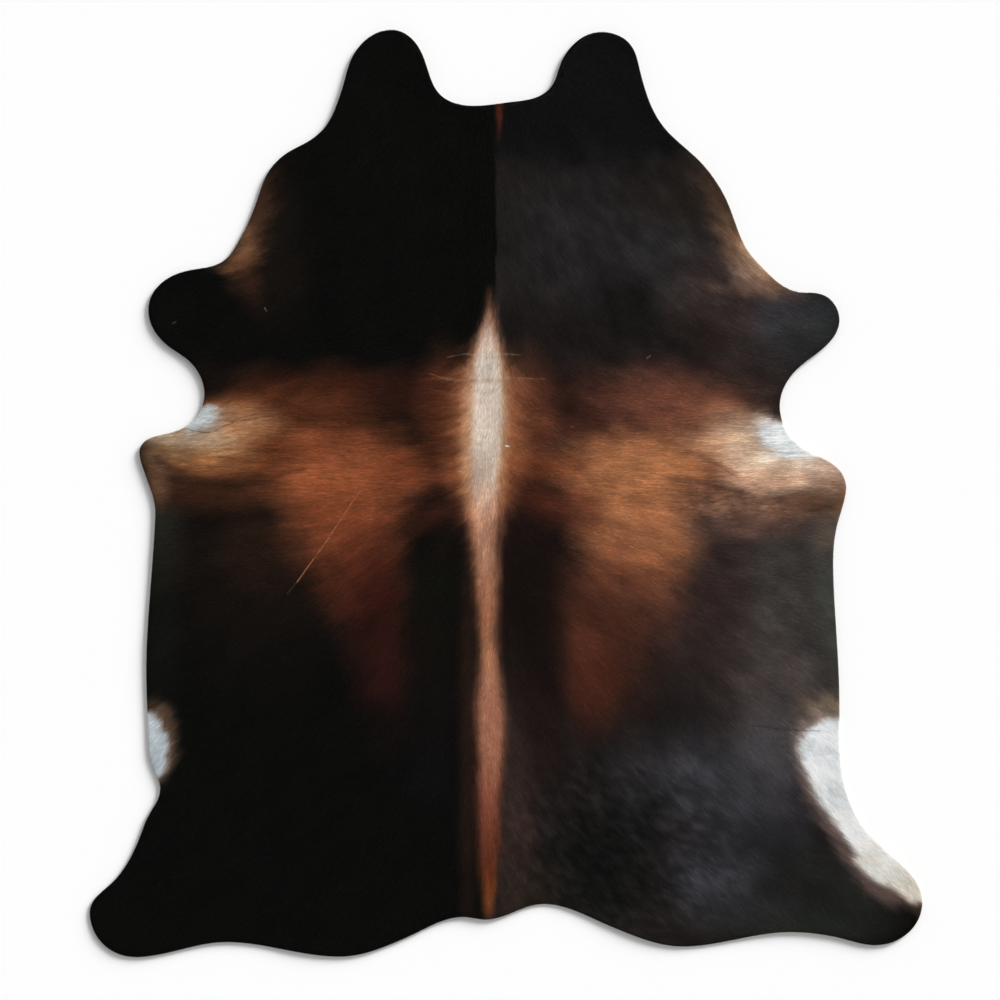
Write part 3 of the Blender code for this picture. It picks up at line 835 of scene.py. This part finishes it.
def even_steps(points, count):
    """count + 1 points at equal steps along an open line."""
    steps = np.linalg.norm(np.diff(points, axis=0), axis=1)
    along = np.concatenate(([0.0], np.cumsum(steps)))
    wanted = np.linspace(0, along[-1], count + 1)
    return np.column_stack([np.interp(wanted, along, points[:, k]) for k in range(2)])


def hide_outline():
    """The rounded outline, clockwise from the middle of the nape: SIDE_STEPS equal steps down
    the right side to the tail, and as many up the left one."""
    loop = rounded_loop(cad_hair_tips())
    nape = np.argmin(np.hypot(loop[:, 0] - SPINE_X, loop[:, 1] - NAPE_EDGE_Y))
    loop = np.roll(loop, -nape, axis=0)
    tail = np.argmin(np.hypot(loop[:, 0] - SPINE_X, loop[:, 1] - TAIL_EDGE_Y))
    closed = np.concatenate((loop, loop[:1]))
    right = even_steps(closed[: tail + 1], SIDE_STEPS)
    left = even_steps(closed[tail:], SIDE_STEPS)
    return np.concatenate((right[:-1], left[:-1]))


def inward_normals(outline):
    """Unit normals that point into the clockwise outline, across each point's neighbours."""
    along = np.roll(outline, -1, axis=0) - np.roll(outline, 1, axis=0)
    inward = np.column_stack((along[:, 1], -along[:, 0]))
    return inward / np.linalg.norm(inward, axis=1)[:, None]


def inset_lattice(outline, inward):
    """The distance inside the outline at each point of a square lattice over the hide, below
    zero outside: the distance to the nearest outline point, along its normal where close."""
    side = np.arange(-INSET_SPAN, INSET_SPAN, INSET_CELL)
    x, y = np.meshgrid(side, side, indexing="ij")
    places = np.column_stack((x.ravel(), y.ravel())).astype(np.float32)
    edge = outline.astype(np.float32)
    inset = np.empty(len(places), np.float32)
    for start in range(0, len(places), INSET_BATCH):
        part = places[start : start + INSET_BATCH]
        apart = (part[:, None, 0] - edge[:, 0]) ** 2 + (part[:, None, 1] - edge[:, 1]) ** 2
        nearest = apart.argmin(axis=1)
        reach = np.sqrt(apart[np.arange(len(part)), nearest])
        straight = ((part - edge[nearest]) * inward[nearest]).sum(axis=1)
        close = reach < INSET_NEAR
        inset[start : start + len(part)] = np.where(close, straight, reach * np.sign(straight))
    return inset.reshape(x.shape)


OUTLINE = hide_outline()
INWARD = inward_normals(OUTLINE)
INSETS = inset_lattice(OUTLINE, INWARD)


def inset_at(x, y):
    """How far inside the outline a point lies, read between the lattice's points."""
    gx = np.clip((x + INSET_SPAN) / INSET_CELL, 0, INSETS.shape[0] - 2)
    gy = np.clip((y + INSET_SPAN) / INSET_CELL, 0, INSETS.shape[1] - 2)
    ix = gx.astype(int)
    iy = gy.astype(int)
    return between_points(INSETS, (ix, iy), (ix + 1, iy + 1), (gx - ix, gy - iy))


# ------------------------------------------------------------------ relief of the hide
def fading_path(crease):
    """A crease's points, with no half-width and the crease's strength there: full along its
    middle, none at its ends."""
    shares = np.linspace(0, 1, len(crease.path))
    strengths = np.sin(np.pi * shares) ** 0.5
    return [(x, y, 0.0, float(strength)) for (x, y), strength in zip(crease.path, strengths)]


def relief(x, y):
    """How far the hide rises above lying flat: broad low waves and a slight curl of the edge,
    which falls off with the inset, less the creases, each a soft trough along its line that
    fades towards both ends."""
    rise = WAVE_REST + WAVE_HEIGHT * cloudy(x, y, WAVE_CELL, WAVE_SEED)
    share = 0.5 + 0.5 * lattice_noise(x, y, CURL_CELL, CURL_SEED)
    curl = CURL_HEIGHT[0] + (CURL_HEIGHT[1] - CURL_HEIGHT[0]) * share
    rise = rise + curl * np.exp(-np.maximum(inset_at(x, y), 0.0) / CURL_WIDTH)
    for crease in CREASES:
        apart, strength = along_path(fading_path(crease), x, y)
        trough = np.exp(-((apart / crease.width) ** 2))
        rise = rise - crease.depth * strength[..., 0] * trough
    return rise


def hair_height(x, y):
    """Height of the undercoat's top: its rounded edge by the inset, and the relief."""
    insets, heights = np.transpose(COAT_OVER_EDGE)
    return np.interp(inset_at(x, y), insets, heights) + relief(x, y)


# ------------------------------------------------------------------ the two sheets
def spine_feet():
    """Where the spokes of both sides leave the spine, from the nape to the tail."""
    share = np.linspace(0, 1, SIDE_STEPS + 1)
    y = FOOT_TOP_Y + (FOOT_TAIL_Y - FOOT_TOP_Y) * share
    return np.column_stack((np.full(len(y), SPINE_X), y))


def spoke_rings(foot, section, rows):
    """Plan and flat height of a shell's rings, each with one point for each step round the
    outline. The rings go straight along the spokes from the spine out to the edge, then round
    it by the section's insets, and straight back over the top."""
    first = OUTLINE + section[0][0] * INWARD
    last = OUTLINE + section[-1][0] * INWARD
    under = np.linspace(0, 1, rows[0], endpoint=False)[1:, None, None]
    over = np.linspace(0, 1, rows[1], endpoint=False)[1:, None, None]
    rings = [
        foot + (first - foot) * under,
        np.stack([OUTLINE + inset * INWARD for inset, height in section]),
        last + (foot - last) * over,
    ]
    heights = [height for inset, height in section]
    heights = [heights[0]] * len(under) + heights + [heights[-1]] * len(over)
    return np.concatenate(rings), np.array(heights)[:, None]


def shell_faces(ring_count, foot_of, foot_count):
    """Faces between neighbouring rings. The first and the last ring are the feet on the spine,
    which belong to both sides, so that the shell has no seam."""
    around = len(foot_of)
    index = np.empty((ring_count + 2, around), int)
    index[0] = foot_of
    index[1:-1] = foot_count + np.arange(ring_count * around).reshape(ring_count, around)
    index[-1] = foot_count + ring_count * around + foot_of
    after = np.roll(index, -1, axis=1)
    return np.stack((index[:-1], index[1:], after[1:], after[:-1]), axis=2).reshape(-1, 4)


def spoked_shell(name, section, rows):
    """One closed shell of the hide's plan.

    Its first parameter goes round the outline. Its second follows the section: from the
    spine out along the underside, round the edge, and back over the top to the spine. Each
    section step is (inset, height). The relief lifts all of it, and nothing lies lower than
    the underside."""
    feet = spine_feet()
    foot_of = np.concatenate((np.arange(SIDE_STEPS), np.arange(SIDE_STEPS, 0, -1)))
    plan, flat_height = spoke_rings(feet[foot_of], section, rows)
    z = flat_height + relief(plan[..., 0], plan[..., 1])
    grid = np.concatenate((plan, z[..., None]), axis=2).reshape(-1, 3)
    foot_rise = relief(feet[:, 0], feet[:, 1])
    underside = section[0][1]
    low = np.column_stack((feet, underside + foot_rise))
    high = np.column_stack((feet, section[-1][1] + foot_rise))
    points = np.concatenate((low, grid, high))
    points[:, 2] = np.maximum(points[:, 2], underside)
    return new_piece(name, points, shell_faces(len(plan), foot_of, len(feet)))


def new_piece(name, points, faces):
    """A mesh object at the origin from its points and faces, all with the same corners."""
    sides = faces.shape[1]
    mesh = bpy.data.meshes.new(name)
    mesh.vertices.add(len(points))
    mesh.vertices.foreach_set("co", points.ravel())
    mesh.loops.add(faces.size)
    mesh.loops.foreach_set("vertex_index", faces.ravel())
    mesh.polygons.add(len(faces))
    mesh.polygons.foreach_set("loop_start", np.arange(0, faces.size, sides))
    mesh.update(calc_edges=True)
    add_plan_map(mesh, points, faces)
    piece = bpy.data.objects.new(name, mesh)
    bpy.context.scene.collection.objects.link(piece)
    return piece


def add_plan_map(mesh, points, faces):
    """A UV map that is the piece's own plan, seen from above and fitted to the unit square."""
    plan = points[:, :2]
    low = plan.min(axis=0)
    size = plan.max(axis=0) - low
    layer = mesh.uv_layers.new(name="OFBake")
    layer.data.foreach_set("uv", ((plan - low) / size)[faces.ravel()].ravel())


def linear_light(srgb):
    """sRGB from 0 to 255 as linear light: a straight line near black, then a power."""
    share = np.clip(srgb, 0, 255) / 255.0
    power = ((share + SRGB_OFFSET) / (1 + SRGB_OFFSET)) ** SRGB_POWER
    return np.where(share <= SRGB_KNEE, share / SRGB_SLOPE, power)


def add_color(mesh, srgb):
    """The coat's colour at each vertex, as an attribute in linear light, with the gain."""
    linear = np.minimum(linear_light(srgb) * COAT_GAIN, 1.0)
    layer = mesh.color_attributes.new("coat_color", "FLOAT_COLOR", "POINT")
    alpha = np.ones((len(linear), 1))
    layer.data.foreach_set("color", np.concatenate((linear, alpha), axis=1).ravel())


# ------------------------------------------------------------------ guard hair
def scattered_roots(rng):
    """Roots on a square lattice, each shaken within its cell, inside the outline."""
    side = np.arange(-INSET_SPAN, INSET_SPAN, LOCK_SPACING)
    x, y = np.meshgrid(side, side)
    x = x.ravel() + rng.uniform(-0.5, 0.5, x.size) * LOCK_SPACING
    y = y.ravel() + rng.uniform(-0.5, 0.5, y.size) * LOCK_SPACING
    inside = inset_at(x, y) > ROOT_INSET
    return x[inside], y[inside]


def fringe_roots(rng):
    """Roots in a narrow band along the cut edge, for the hair that hides it, each with the
    direction out of the hide there."""
    place = rng.uniform(0, len(OUTLINE), FRINGE_LOCKS)
    first = place.astype(int)
    share = (place - first)[:, None]
    following = (first + 1) % len(OUTLINE)
    edge = OUTLINE[first] * (1 - share) + OUTLINE[following] * share
    out = -(INWARD[first] * (1 - share) + INWARD[following] * share)
    root = edge - out * rng.uniform(*FRINGE_INSET, FRINGE_LOCKS)[:, None]
    return root[:, 0], root[:, 1], out


def lock_roots(rng):
    """Places of all roots, and the unit vectors along their locks: the flow of the hair,
    which leans out over the edge in the fringe, and from which each lock strays a little."""
    x, y = scattered_roots(rng)
    dx, dy = hair_flow(x, y)
    edge_x, edge_y, out = fringe_roots(rng)
    flow_x, flow_y = hair_flow(edge_x, edge_y)
    lean_x = flow_x + FRINGE_OUTWARD * out[:, 0]
    lean_y = flow_y + FRINGE_OUTWARD * out[:, 1]
    reach = np.hypot(lean_x, lean_y)
    x = np.concatenate((x, edge_x))
    y = np.concatenate((y, edge_y))
    dx = np.concatenate((dx, lean_x / reach))
    dy = np.concatenate((dy, lean_y / reach))
    stray = rng.normal(0.0, LOCK_STRAY, len(x))
    turned_x = dx * np.cos(stray) - dy * np.sin(stray)
    turned_y = dx * np.sin(stray) + dy * np.cos(stray)
    return x, y, turned_x, turned_y


def length_on_hide(x, y, dx, dy, length):
    """The locks' lengths, cut where they would reach more than TIP_OVERHANG past the edge."""
    start = inset_at(x, y)
    end = inset_at(x + dx * length, y + dy * length)
    kept = (start + TIP_OVERHANG) / np.maximum(start - end, LEAST_FALL)
    return np.where(end < -TIP_OVERHANG, length * np.clip(kept, LOCK_STUB, 1.0), length)


def lock_corners(x, y, dx, dy, length, width, rng):
    """The four corners of each lock: its root's left and right, a ridge between them a third
    of the way along, and its tip. The root is sunk and the tip stands a little proud, so that
    each lock lies on the roots of the next. The ridge stays above the line from root to tip,
    so that a lock over a crease isn't turned inside out."""
    half = width / 2
    ridge_x = x + dx * length * RIDGE_PLACE
    ridge_y = y + dy * length * RIDGE_PLACE
    tip_x = x + dx * length
    tip_y = y + dy * length
    left = (x - dy * half, y + dx * half)
    right = (x + dy * half, y - dx * half)
    left_z = hair_height(*left) - ROOT_SINK
    right_z = hair_height(*right) - ROOT_SINK
    tip_z = hair_height(tip_x, tip_y) + rng.uniform(*TIP_LIFT, len(x))
    straight = (left_z + right_z) / 2 * (1 - RIDGE_PLACE) + tip_z * RIDGE_PLACE
    ridge_z = np.maximum(hair_height(ridge_x, ridge_y), straight) + RIDGE_LIFT
    corners = [
        (*left, left_z),
        (*right, right_z),
        (ridge_x, ridge_y, ridge_z),
        (tip_x, tip_y, tip_z),
    ]
    return np.stack([np.column_stack(corner) for corner in corners], axis=1)


def coat_normals(x, y):
    """Unit normals of the undercoat's top, from its heights SLOPE_STEP to either side."""
    rise_x = hair_height(x + SLOPE_STEP, y) - hair_height(x - SLOPE_STEP, y)
    rise_y = hair_height(x, y + SLOPE_STEP) - hair_height(x, y - SLOPE_STEP)
    run = 2 * SLOPE_STEP
    normals = np.column_stack((-rise_x / run, -rise_y / run, np.ones(len(x))))
    return normals / np.linalg.norm(normals, axis=1)[:, None]


def lock_normals(x, y, dx, dy):
    """A normal at each corner of each lock: the coat's own, leaning outwards at the root's two
    corners and forwards at the tip, so that a lock shades as a low round strand."""
    upward = coat_normals(x, y)
    flat = np.zeros(len(x))
    aside = np.column_stack((-dy, dx, flat))
    ahead = np.column_stack((dx, dy, flat))
    leaning = [
        upward + LOCK_ROUND * aside,
        upward - LOCK_ROUND * aside,
        upward,
        upward + LOCK_NOD * ahead,
    ]
    normals = np.stack(leaning, axis=1)
    return normals / np.linalg.norm(normals, axis=2)[..., None]


def lock_colors(x, y, rng):
    """The colour at each lock's four corners: the coat's own under its middle, made brighter
    and warmer by chance, and darker at the root than at the tip, as painted shade where the root
    lies under the locks before it and painted light on the raised tip."""
    glow = rng.normal(0.0, 1.0, len(x))[:, None]
    warmth = rng.normal(0.0, 1.0, len(x))[:, None] * np.array(LOCK_WARMTH)
    color = coat_color(x, y) * np.exp(LOCK_GLOW * glow + warmth)
    return color[:, None, :] * np.array(LOCK_ROOT_SHADE_TIP_LIGHT)[None, :, None]


def grow_locks():
    """Corners, normals and colours of all locks, those over the hide and the fringe."""
    rng = np.random.default_rng(HAIR_SEED)
    x, y, dx, dy = lock_roots(rng)
    length = rng.uniform(*LOCK_LENGTH, len(x))
    width = rng.uniform(*LOCK_WIDTH, len(x))
    length = length_on_hide(x, y, dx, dy, length)
    corners = lock_corners(x, y, dx, dy, length, width, rng)
    color = lock_colors(x + dx * length * 0.5, y + dy * length * 0.5, rng)
    return corners, lock_normals(x, y, dx, dy), color


def hair_piece(name, corners, normals, color):
    """One part's locks as one mesh, each lock a closed form of four triangles."""
    starts = np.arange(len(corners))[:, None, None] * corners.shape[1]
    faces = (starts + np.array(LOCK_FACES)).reshape(-1, 3)
    piece = new_piece(name, corners.reshape(-1, 3), faces)
    piece.data.normals_split_custom_set_from_vertices(normals.reshape(-1, 3))
    add_color(piece.data, color.reshape(-1, 3))
    return piece


# ------------------------------------------------------------------ materials
class HideMaterial:
    """Adds nodes to one material and joins them; values are sockets or plain numbers."""

    def __init__(self, name):
        self.material = bpy.data.materials.new(name)
        self.material.use_nodes = True
        self.tree = self.material.node_tree
        self.shader = self.tree.nodes["Principled BSDF"]
        self.place = self.add("TexCoord").outputs["Object"]

    def add(self, kind):
        return self.tree.nodes.new("ShaderNode" + kind)

    def join(self, value, socket):
        if isinstance(value, bpy.types.NodeSocket):
            self.tree.links.new(value, socket)
        else:
            socket.default_value = value

    def math(self, operation, a, b=0.0, clamp=False):
        node = self.add("Math")
        node.operation = operation
        node.use_clamp = clamp
        self.join(a, node.inputs[0])
        self.join(b, node.inputs[1])
        return node.outputs[0]

    def vector(self, operation, a, b=(0.0, 0.0, 0.0)):
        node = self.add("VectorMath")
        node.operation = operation
        self.join(a, node.inputs[0])
        self.join(b, node.inputs[1])
        return node.outputs["Value" if operation in ("DOT_PRODUCT", "LENGTH") else "Vector"]

    def scaled(self, a, scale):
        node = self.add("VectorMath")
        node.operation = "SCALE"
        self.join(a, node.inputs[0])
        self.join(scale, node.inputs["Scale"])
        return node.outputs["Vector"]

    def noise(self, kind, place=None, output="Fac"):
        node = self.add("TexNoise")
        node.inputs["Scale"].default_value = kind.scale
        node.inputs["Detail"].default_value = kind.detail
        node.inputs["Roughness"].default_value = kind.roughness
        self.join(self.place if place is None else place, node.inputs["Vector"])
        return node.outputs[output]

    def ramp(self, value, low, high, to_low=0.0, to_high=1.0):
        node = self.add("MapRange")
        node.interpolation_type = "SMOOTHSTEP"
        self.join(value, node.inputs["Value"])
        node.inputs["From Min"].default_value = low
        node.inputs["From Max"].default_value = high
        node.inputs["To Min"].default_value = to_low
        node.inputs["To Max"].default_value = to_high
        return node.outputs["Result"]

    def mix(self, share, a, b):
        node = self.add("Mix")
        node.data_type = "RGBA"
        self.join(share, node.inputs["Factor"])
        self.join(a, node.inputs["A"])
        self.join(b, node.inputs["B"])
        return node.outputs["Result"]

    def bump(self, height, distance):
        node = self.add("Bump")
        node.inputs["Strength"].default_value = 1.0
        node.inputs["Distance"].default_value = distance
        self.join(height, node.inputs["Height"])
        self.join(node.outputs["Normal"], self.shader.inputs["Normal"])

    def finish(self, color, roughness, specular):
        self.join(color, self.shader.inputs["Base Color"])
        self.join(roughness, self.shader.inputs["Roughness"])
        self.join(specular, self.shader.inputs["Specular IOR Level"])
        return self.material


def distance_to_line(made, place, path):
    """Distance in plan to the nearest straight step of a thin line's path: the length of the
    point less the nearest point of each step, and the least of those."""
    nearest = None
    for start, end in zip(path[:-1], path[1:]):
        step = np.subtract(end, start)
        reach = (*(step / (step @ step)).tolist(), 0.0)
        away = made.vector("SUBTRACT", place, (*start, 0.0))
        along = made.math("MULTIPLY", made.vector("DOT_PRODUCT", away, reach), 1.0, clamp=True)
        foot = made.scaled((*step.tolist(), 0.0), along)
        apart = made.vector("LENGTH", made.vector("SUBTRACT", away, foot))
        nearest = apart if nearest is None else made.math("MINIMUM", nearest, apart)
    return nearest


def thin_lines_over(made, color):
    """The wrinkles, scratches and specks over the coat's colour; the dark wrinkles are painted shade
    in the hide's folds. Each shows where the distance to its line is under its half-width, wavers a
    little and is fainter in places."""
    waver = made.noise(LINE_WAVER_NOISE, output="Color")
    waver = made.scaled(made.vector("SUBTRACT", waver, NOISE_MIDDLE), 2 * LINE_WAVER)
    place = made.vector("MULTIPLY", made.vector("ADD", made.place, waver), PLAN)
    broken = made.ramp(made.noise(LINE_BREAK_NOISE), *LINE_BREAK_SPAN, LINE_BREAK, 1.0)
    for line in THIN_LINES:
        full, gone = [share * line.half_width for share in LINE_FADE]
        share = made.ramp(distance_to_line(made, place, line.path), full, gone, line.strength, 0.0)
        share = made.math("MULTIPLY", share, broken)
        color = made.mix(share, color, (*linear_light(line.color).tolist(), 1.0))
    return color


def band_wrinkle_shading(made):
    """Painted light and shade of the fine wrinkles that cross the rust bands from side to side:
    noise drawn out sideways, strongest on the line between the elbows, and gone past the bands
    and on the spine."""
    drawn_out = made.vector("MULTIPLY", made.place, BAND_STRETCH)
    ripple = made.ramp(made.noise(BAND_WRINKLES, drawn_out), *BAND_SPAN, -1.0, 1.0)
    rise = made.vector("DOT_PRODUCT", made.place, ALONG_Y)
    off_band = made.math("ABSOLUTE", made.math("SUBTRACT", rise, BAND_Y))
    depth = made.ramp(off_band, BAND_FULL * BAND_REACH, BAND_REACH, BAND_DEPTH, 0.0)
    aside = made.vector("DOT_PRODUCT", made.place, ALONG_X)
    off_spine = made.math("ABSOLUTE", made.math("SUBTRACT", aside, SPINE_X))
    depth = made.math("MULTIPLY", depth, made.ramp(off_spine, *BAND_SPINE))
    return made.math("ADD", made.math("MULTIPLY", ripple, depth), 1.0)


def hair_material(name, shade, roughness, specular):
    """Hair whose colour is the coat's own attribute, with a fine grain, the wrinkles of the
    bands and the thin lines."""
    made = HideMaterial(name)
    attribute = made.add("Attribute")
    attribute.attribute_name = "coat_color"
    color = thin_lines_over(made, attribute.outputs["Color"])
    darkest = shade * (1 - GRAIN_DEPTH)
    lightest = shade * (1 + GRAIN_DEPTH)
    grain = made.ramp(made.noise(GRAIN), *GRAIN_SPAN, darkest, lightest)
    grain = made.math("MULTIPLY", grain, band_wrinkle_shading(made))
    return made.finish(made.scaled(color, grain), roughness, specular)


def suede_material():
    """Matt suede: tan to grey fibres in soft clouds, with a fine nap in its bump."""
    made = HideMaterial("suede_nap")
    clouds = made.noise(SUEDE_CLOUDS)
    fibres = made.noise(SUEDE_FIBRES)
    color = made.mix(made.ramp(clouds, *SUEDE_CLOUD_SPAN), SUEDE_DARK, SUEDE_LIGHT)
    share = made.ramp(fibres, *SUEDE_FIBRE_SPAN, 0.0, SUEDE_FIBRE_SHARE)
    made.bump(fibres, SUEDE_NAP)
    return made.finish(made.mix(share, color, SUEDE_FIBRE), SUEDE_ROUGHNESS, SUEDE_SPECULAR)


def floor_material():
    """A pale floor without gloss."""
    made = HideMaterial("pale_floor")
    return made.finish((FLOOR_ALBEDO, FLOOR_ALBEDO, FLOOR_ALBEDO, 1.0), 1.0, 0.0)


# ------------------------------------------------------------------ camera, light and floor
def set_camera():
    """Straight down over the hide, which fills the frame as in the photograph."""
    lens = bpy.data.cameras.new("top_camera")
    lens.lens = CAMERA_LENS
    lens.sensor_width = CAMERA_SENSOR
    lens.clip_end = CAMERA_CLIP
    camera = bpy.data.objects.new("top_camera", lens)
    distance = FRAME_WIDTH * CAMERA_LENS / CAMERA_SENSOR
    camera.location = (*FRAME_CENTRE, distance + HIDE_TOP)
    bpy.context.scene.collection.objects.link(camera)
    bpy.context.scene.camera = camera


def set_lamps():
    """Wide far lamps from all sides, none of them overhead. Each gives its share of the light
    on the floor, whatever its elevation."""
    for lamp in LAMPS:
        data = bpy.data.lights.new(lamp.name, "SUN")
        elevation = np.radians(lamp.elevation)
        azimuth = np.radians(lamp.azimuth)
        data.energy = np.pi * lamp.share / np.sin(elevation)
        data.angle = np.radians(lamp.width)
        light = bpy.data.objects.new(lamp.name, data)
        light.rotation_euler = (np.pi / 2 - elevation, 0.0, azimuth + np.pi / 2)
        bpy.context.scene.collection.objects.link(light)


def set_sky():
    """A white sky that is bright at the horizon and dimmer overhead."""
    world = bpy.data.worlds.new("studio_sky")
    world.use_nodes = True
    tree = world.node_tree
    place = tree.nodes.new("ShaderNodeTexCoord")
    split = tree.nodes.new("ShaderNodeSeparateXYZ")
    tree.links.new(place.outputs["Generated"], split.inputs[0])
    fade = tree.nodes.new("ShaderNodeMapRange")
    fade.interpolation_type = "SMOOTHSTEP"
    tree.links.new(split.outputs["Z"], fade.inputs["Value"])
    fade.inputs["From Min"].default_value = 0.0
    fade.inputs["From Max"].default_value = SKY_FADE
    fade.inputs["To Min"].default_value = SKY_HORIZON
    fade.inputs["To Max"].default_value = SKY_ZENITH
    background = tree.nodes["Background"]
    tree.links.new(fade.outputs["Result"], background.inputs["Strength"])
    background.inputs["Color"].default_value = WHITE
    bpy.context.scene.world = world


def lay_floor():
    """One wide square under the hide."""
    corners = np.array(((-1, -1, 0), (1, -1, 0), (1, 1, 0), (-1, 1, 0)), float)
    floor = new_piece("floor", corners * FLOOR_HALF, np.array(((0, 1, 2, 3),)))
    floor.data.materials.append(floor_material())


# ------------------------------------------------------------------ the pieces of the rug
def make_leather():
    """The tanned sheet: its underside, cut edge and top."""
    leather = spoked_shell("leather", LEATHER_SECTION, LEATHER_ROWS)
    leather.data.materials.append(suede_material())
    leather.data.shade_smooth()
    return leather


def make_undercoat():
    """The dense short hair, painted at its own points."""
    undercoat = spoked_shell("undercoat", COAT_UNDER_EDGE + COAT_OVER_EDGE, COAT_ROWS)
    mesh = undercoat.data
    places = np.empty(len(mesh.vertices) * 3)
    mesh.vertices.foreach_get("co", places)
    places = places.reshape(-1, 3)
    add_color(mesh, coat_color(places[:, 0], places[:, 1]))
    mesh.materials.append(
        hair_material("short_underhair", UNDERHAIR_PAINTED_SHADE, UNDERHAIR_ROUGHNESS, 0.0)
    )
    mesh.shade_smooth()
    return undercoat


def make_guard_hair():
    """The locks in five pieces, by the part of the hide in which their roots are."""
    corners, normals, color = grow_locks()
    guard = hair_material("guard_hair", GUARD_SHADE, GUARD_ROUGHNESS, GUARD_SPECULAR)
    root_x = corners[:, :2, 0].mean(axis=1)
    root_y = corners[:, :2, 1].mean(axis=1)
    right = root_x > SPINE_X
    neck = root_y > NECK_PART_Y
    rump = root_y <= RUMP_PART_Y
    parts = {
        "hair_neck": neck,
        "hair_left_side": ~neck & ~rump & ~right,
        "hair_right_side": ~neck & ~rump & right,
        "hair_left_rump": rump & ~right,
        "hair_right_rump": rump & right,
    }
    pieces = []
    for name, chosen in parts.items():
        piece = hair_piece(name, corners[chosen], normals[chosen], color[chosen])
        piece.data.materials.append(guard)
        pieces.append(piece)
    return pieces


def main():
    """The stage, then the seven pieces, and what each of them is to the CAD hide."""
    set_camera()
    set_lamps()
    set_sky()
    lay_floor()
    leather = make_leather()
    undercoat = make_undercoat()
    hair = make_guard_hair()
    for piece in (leather, undercoat, *hair):
        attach(piece, "root")
        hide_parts("hide")
    bpy.context.scene.view_settings.view_transform = "Standard"


main()
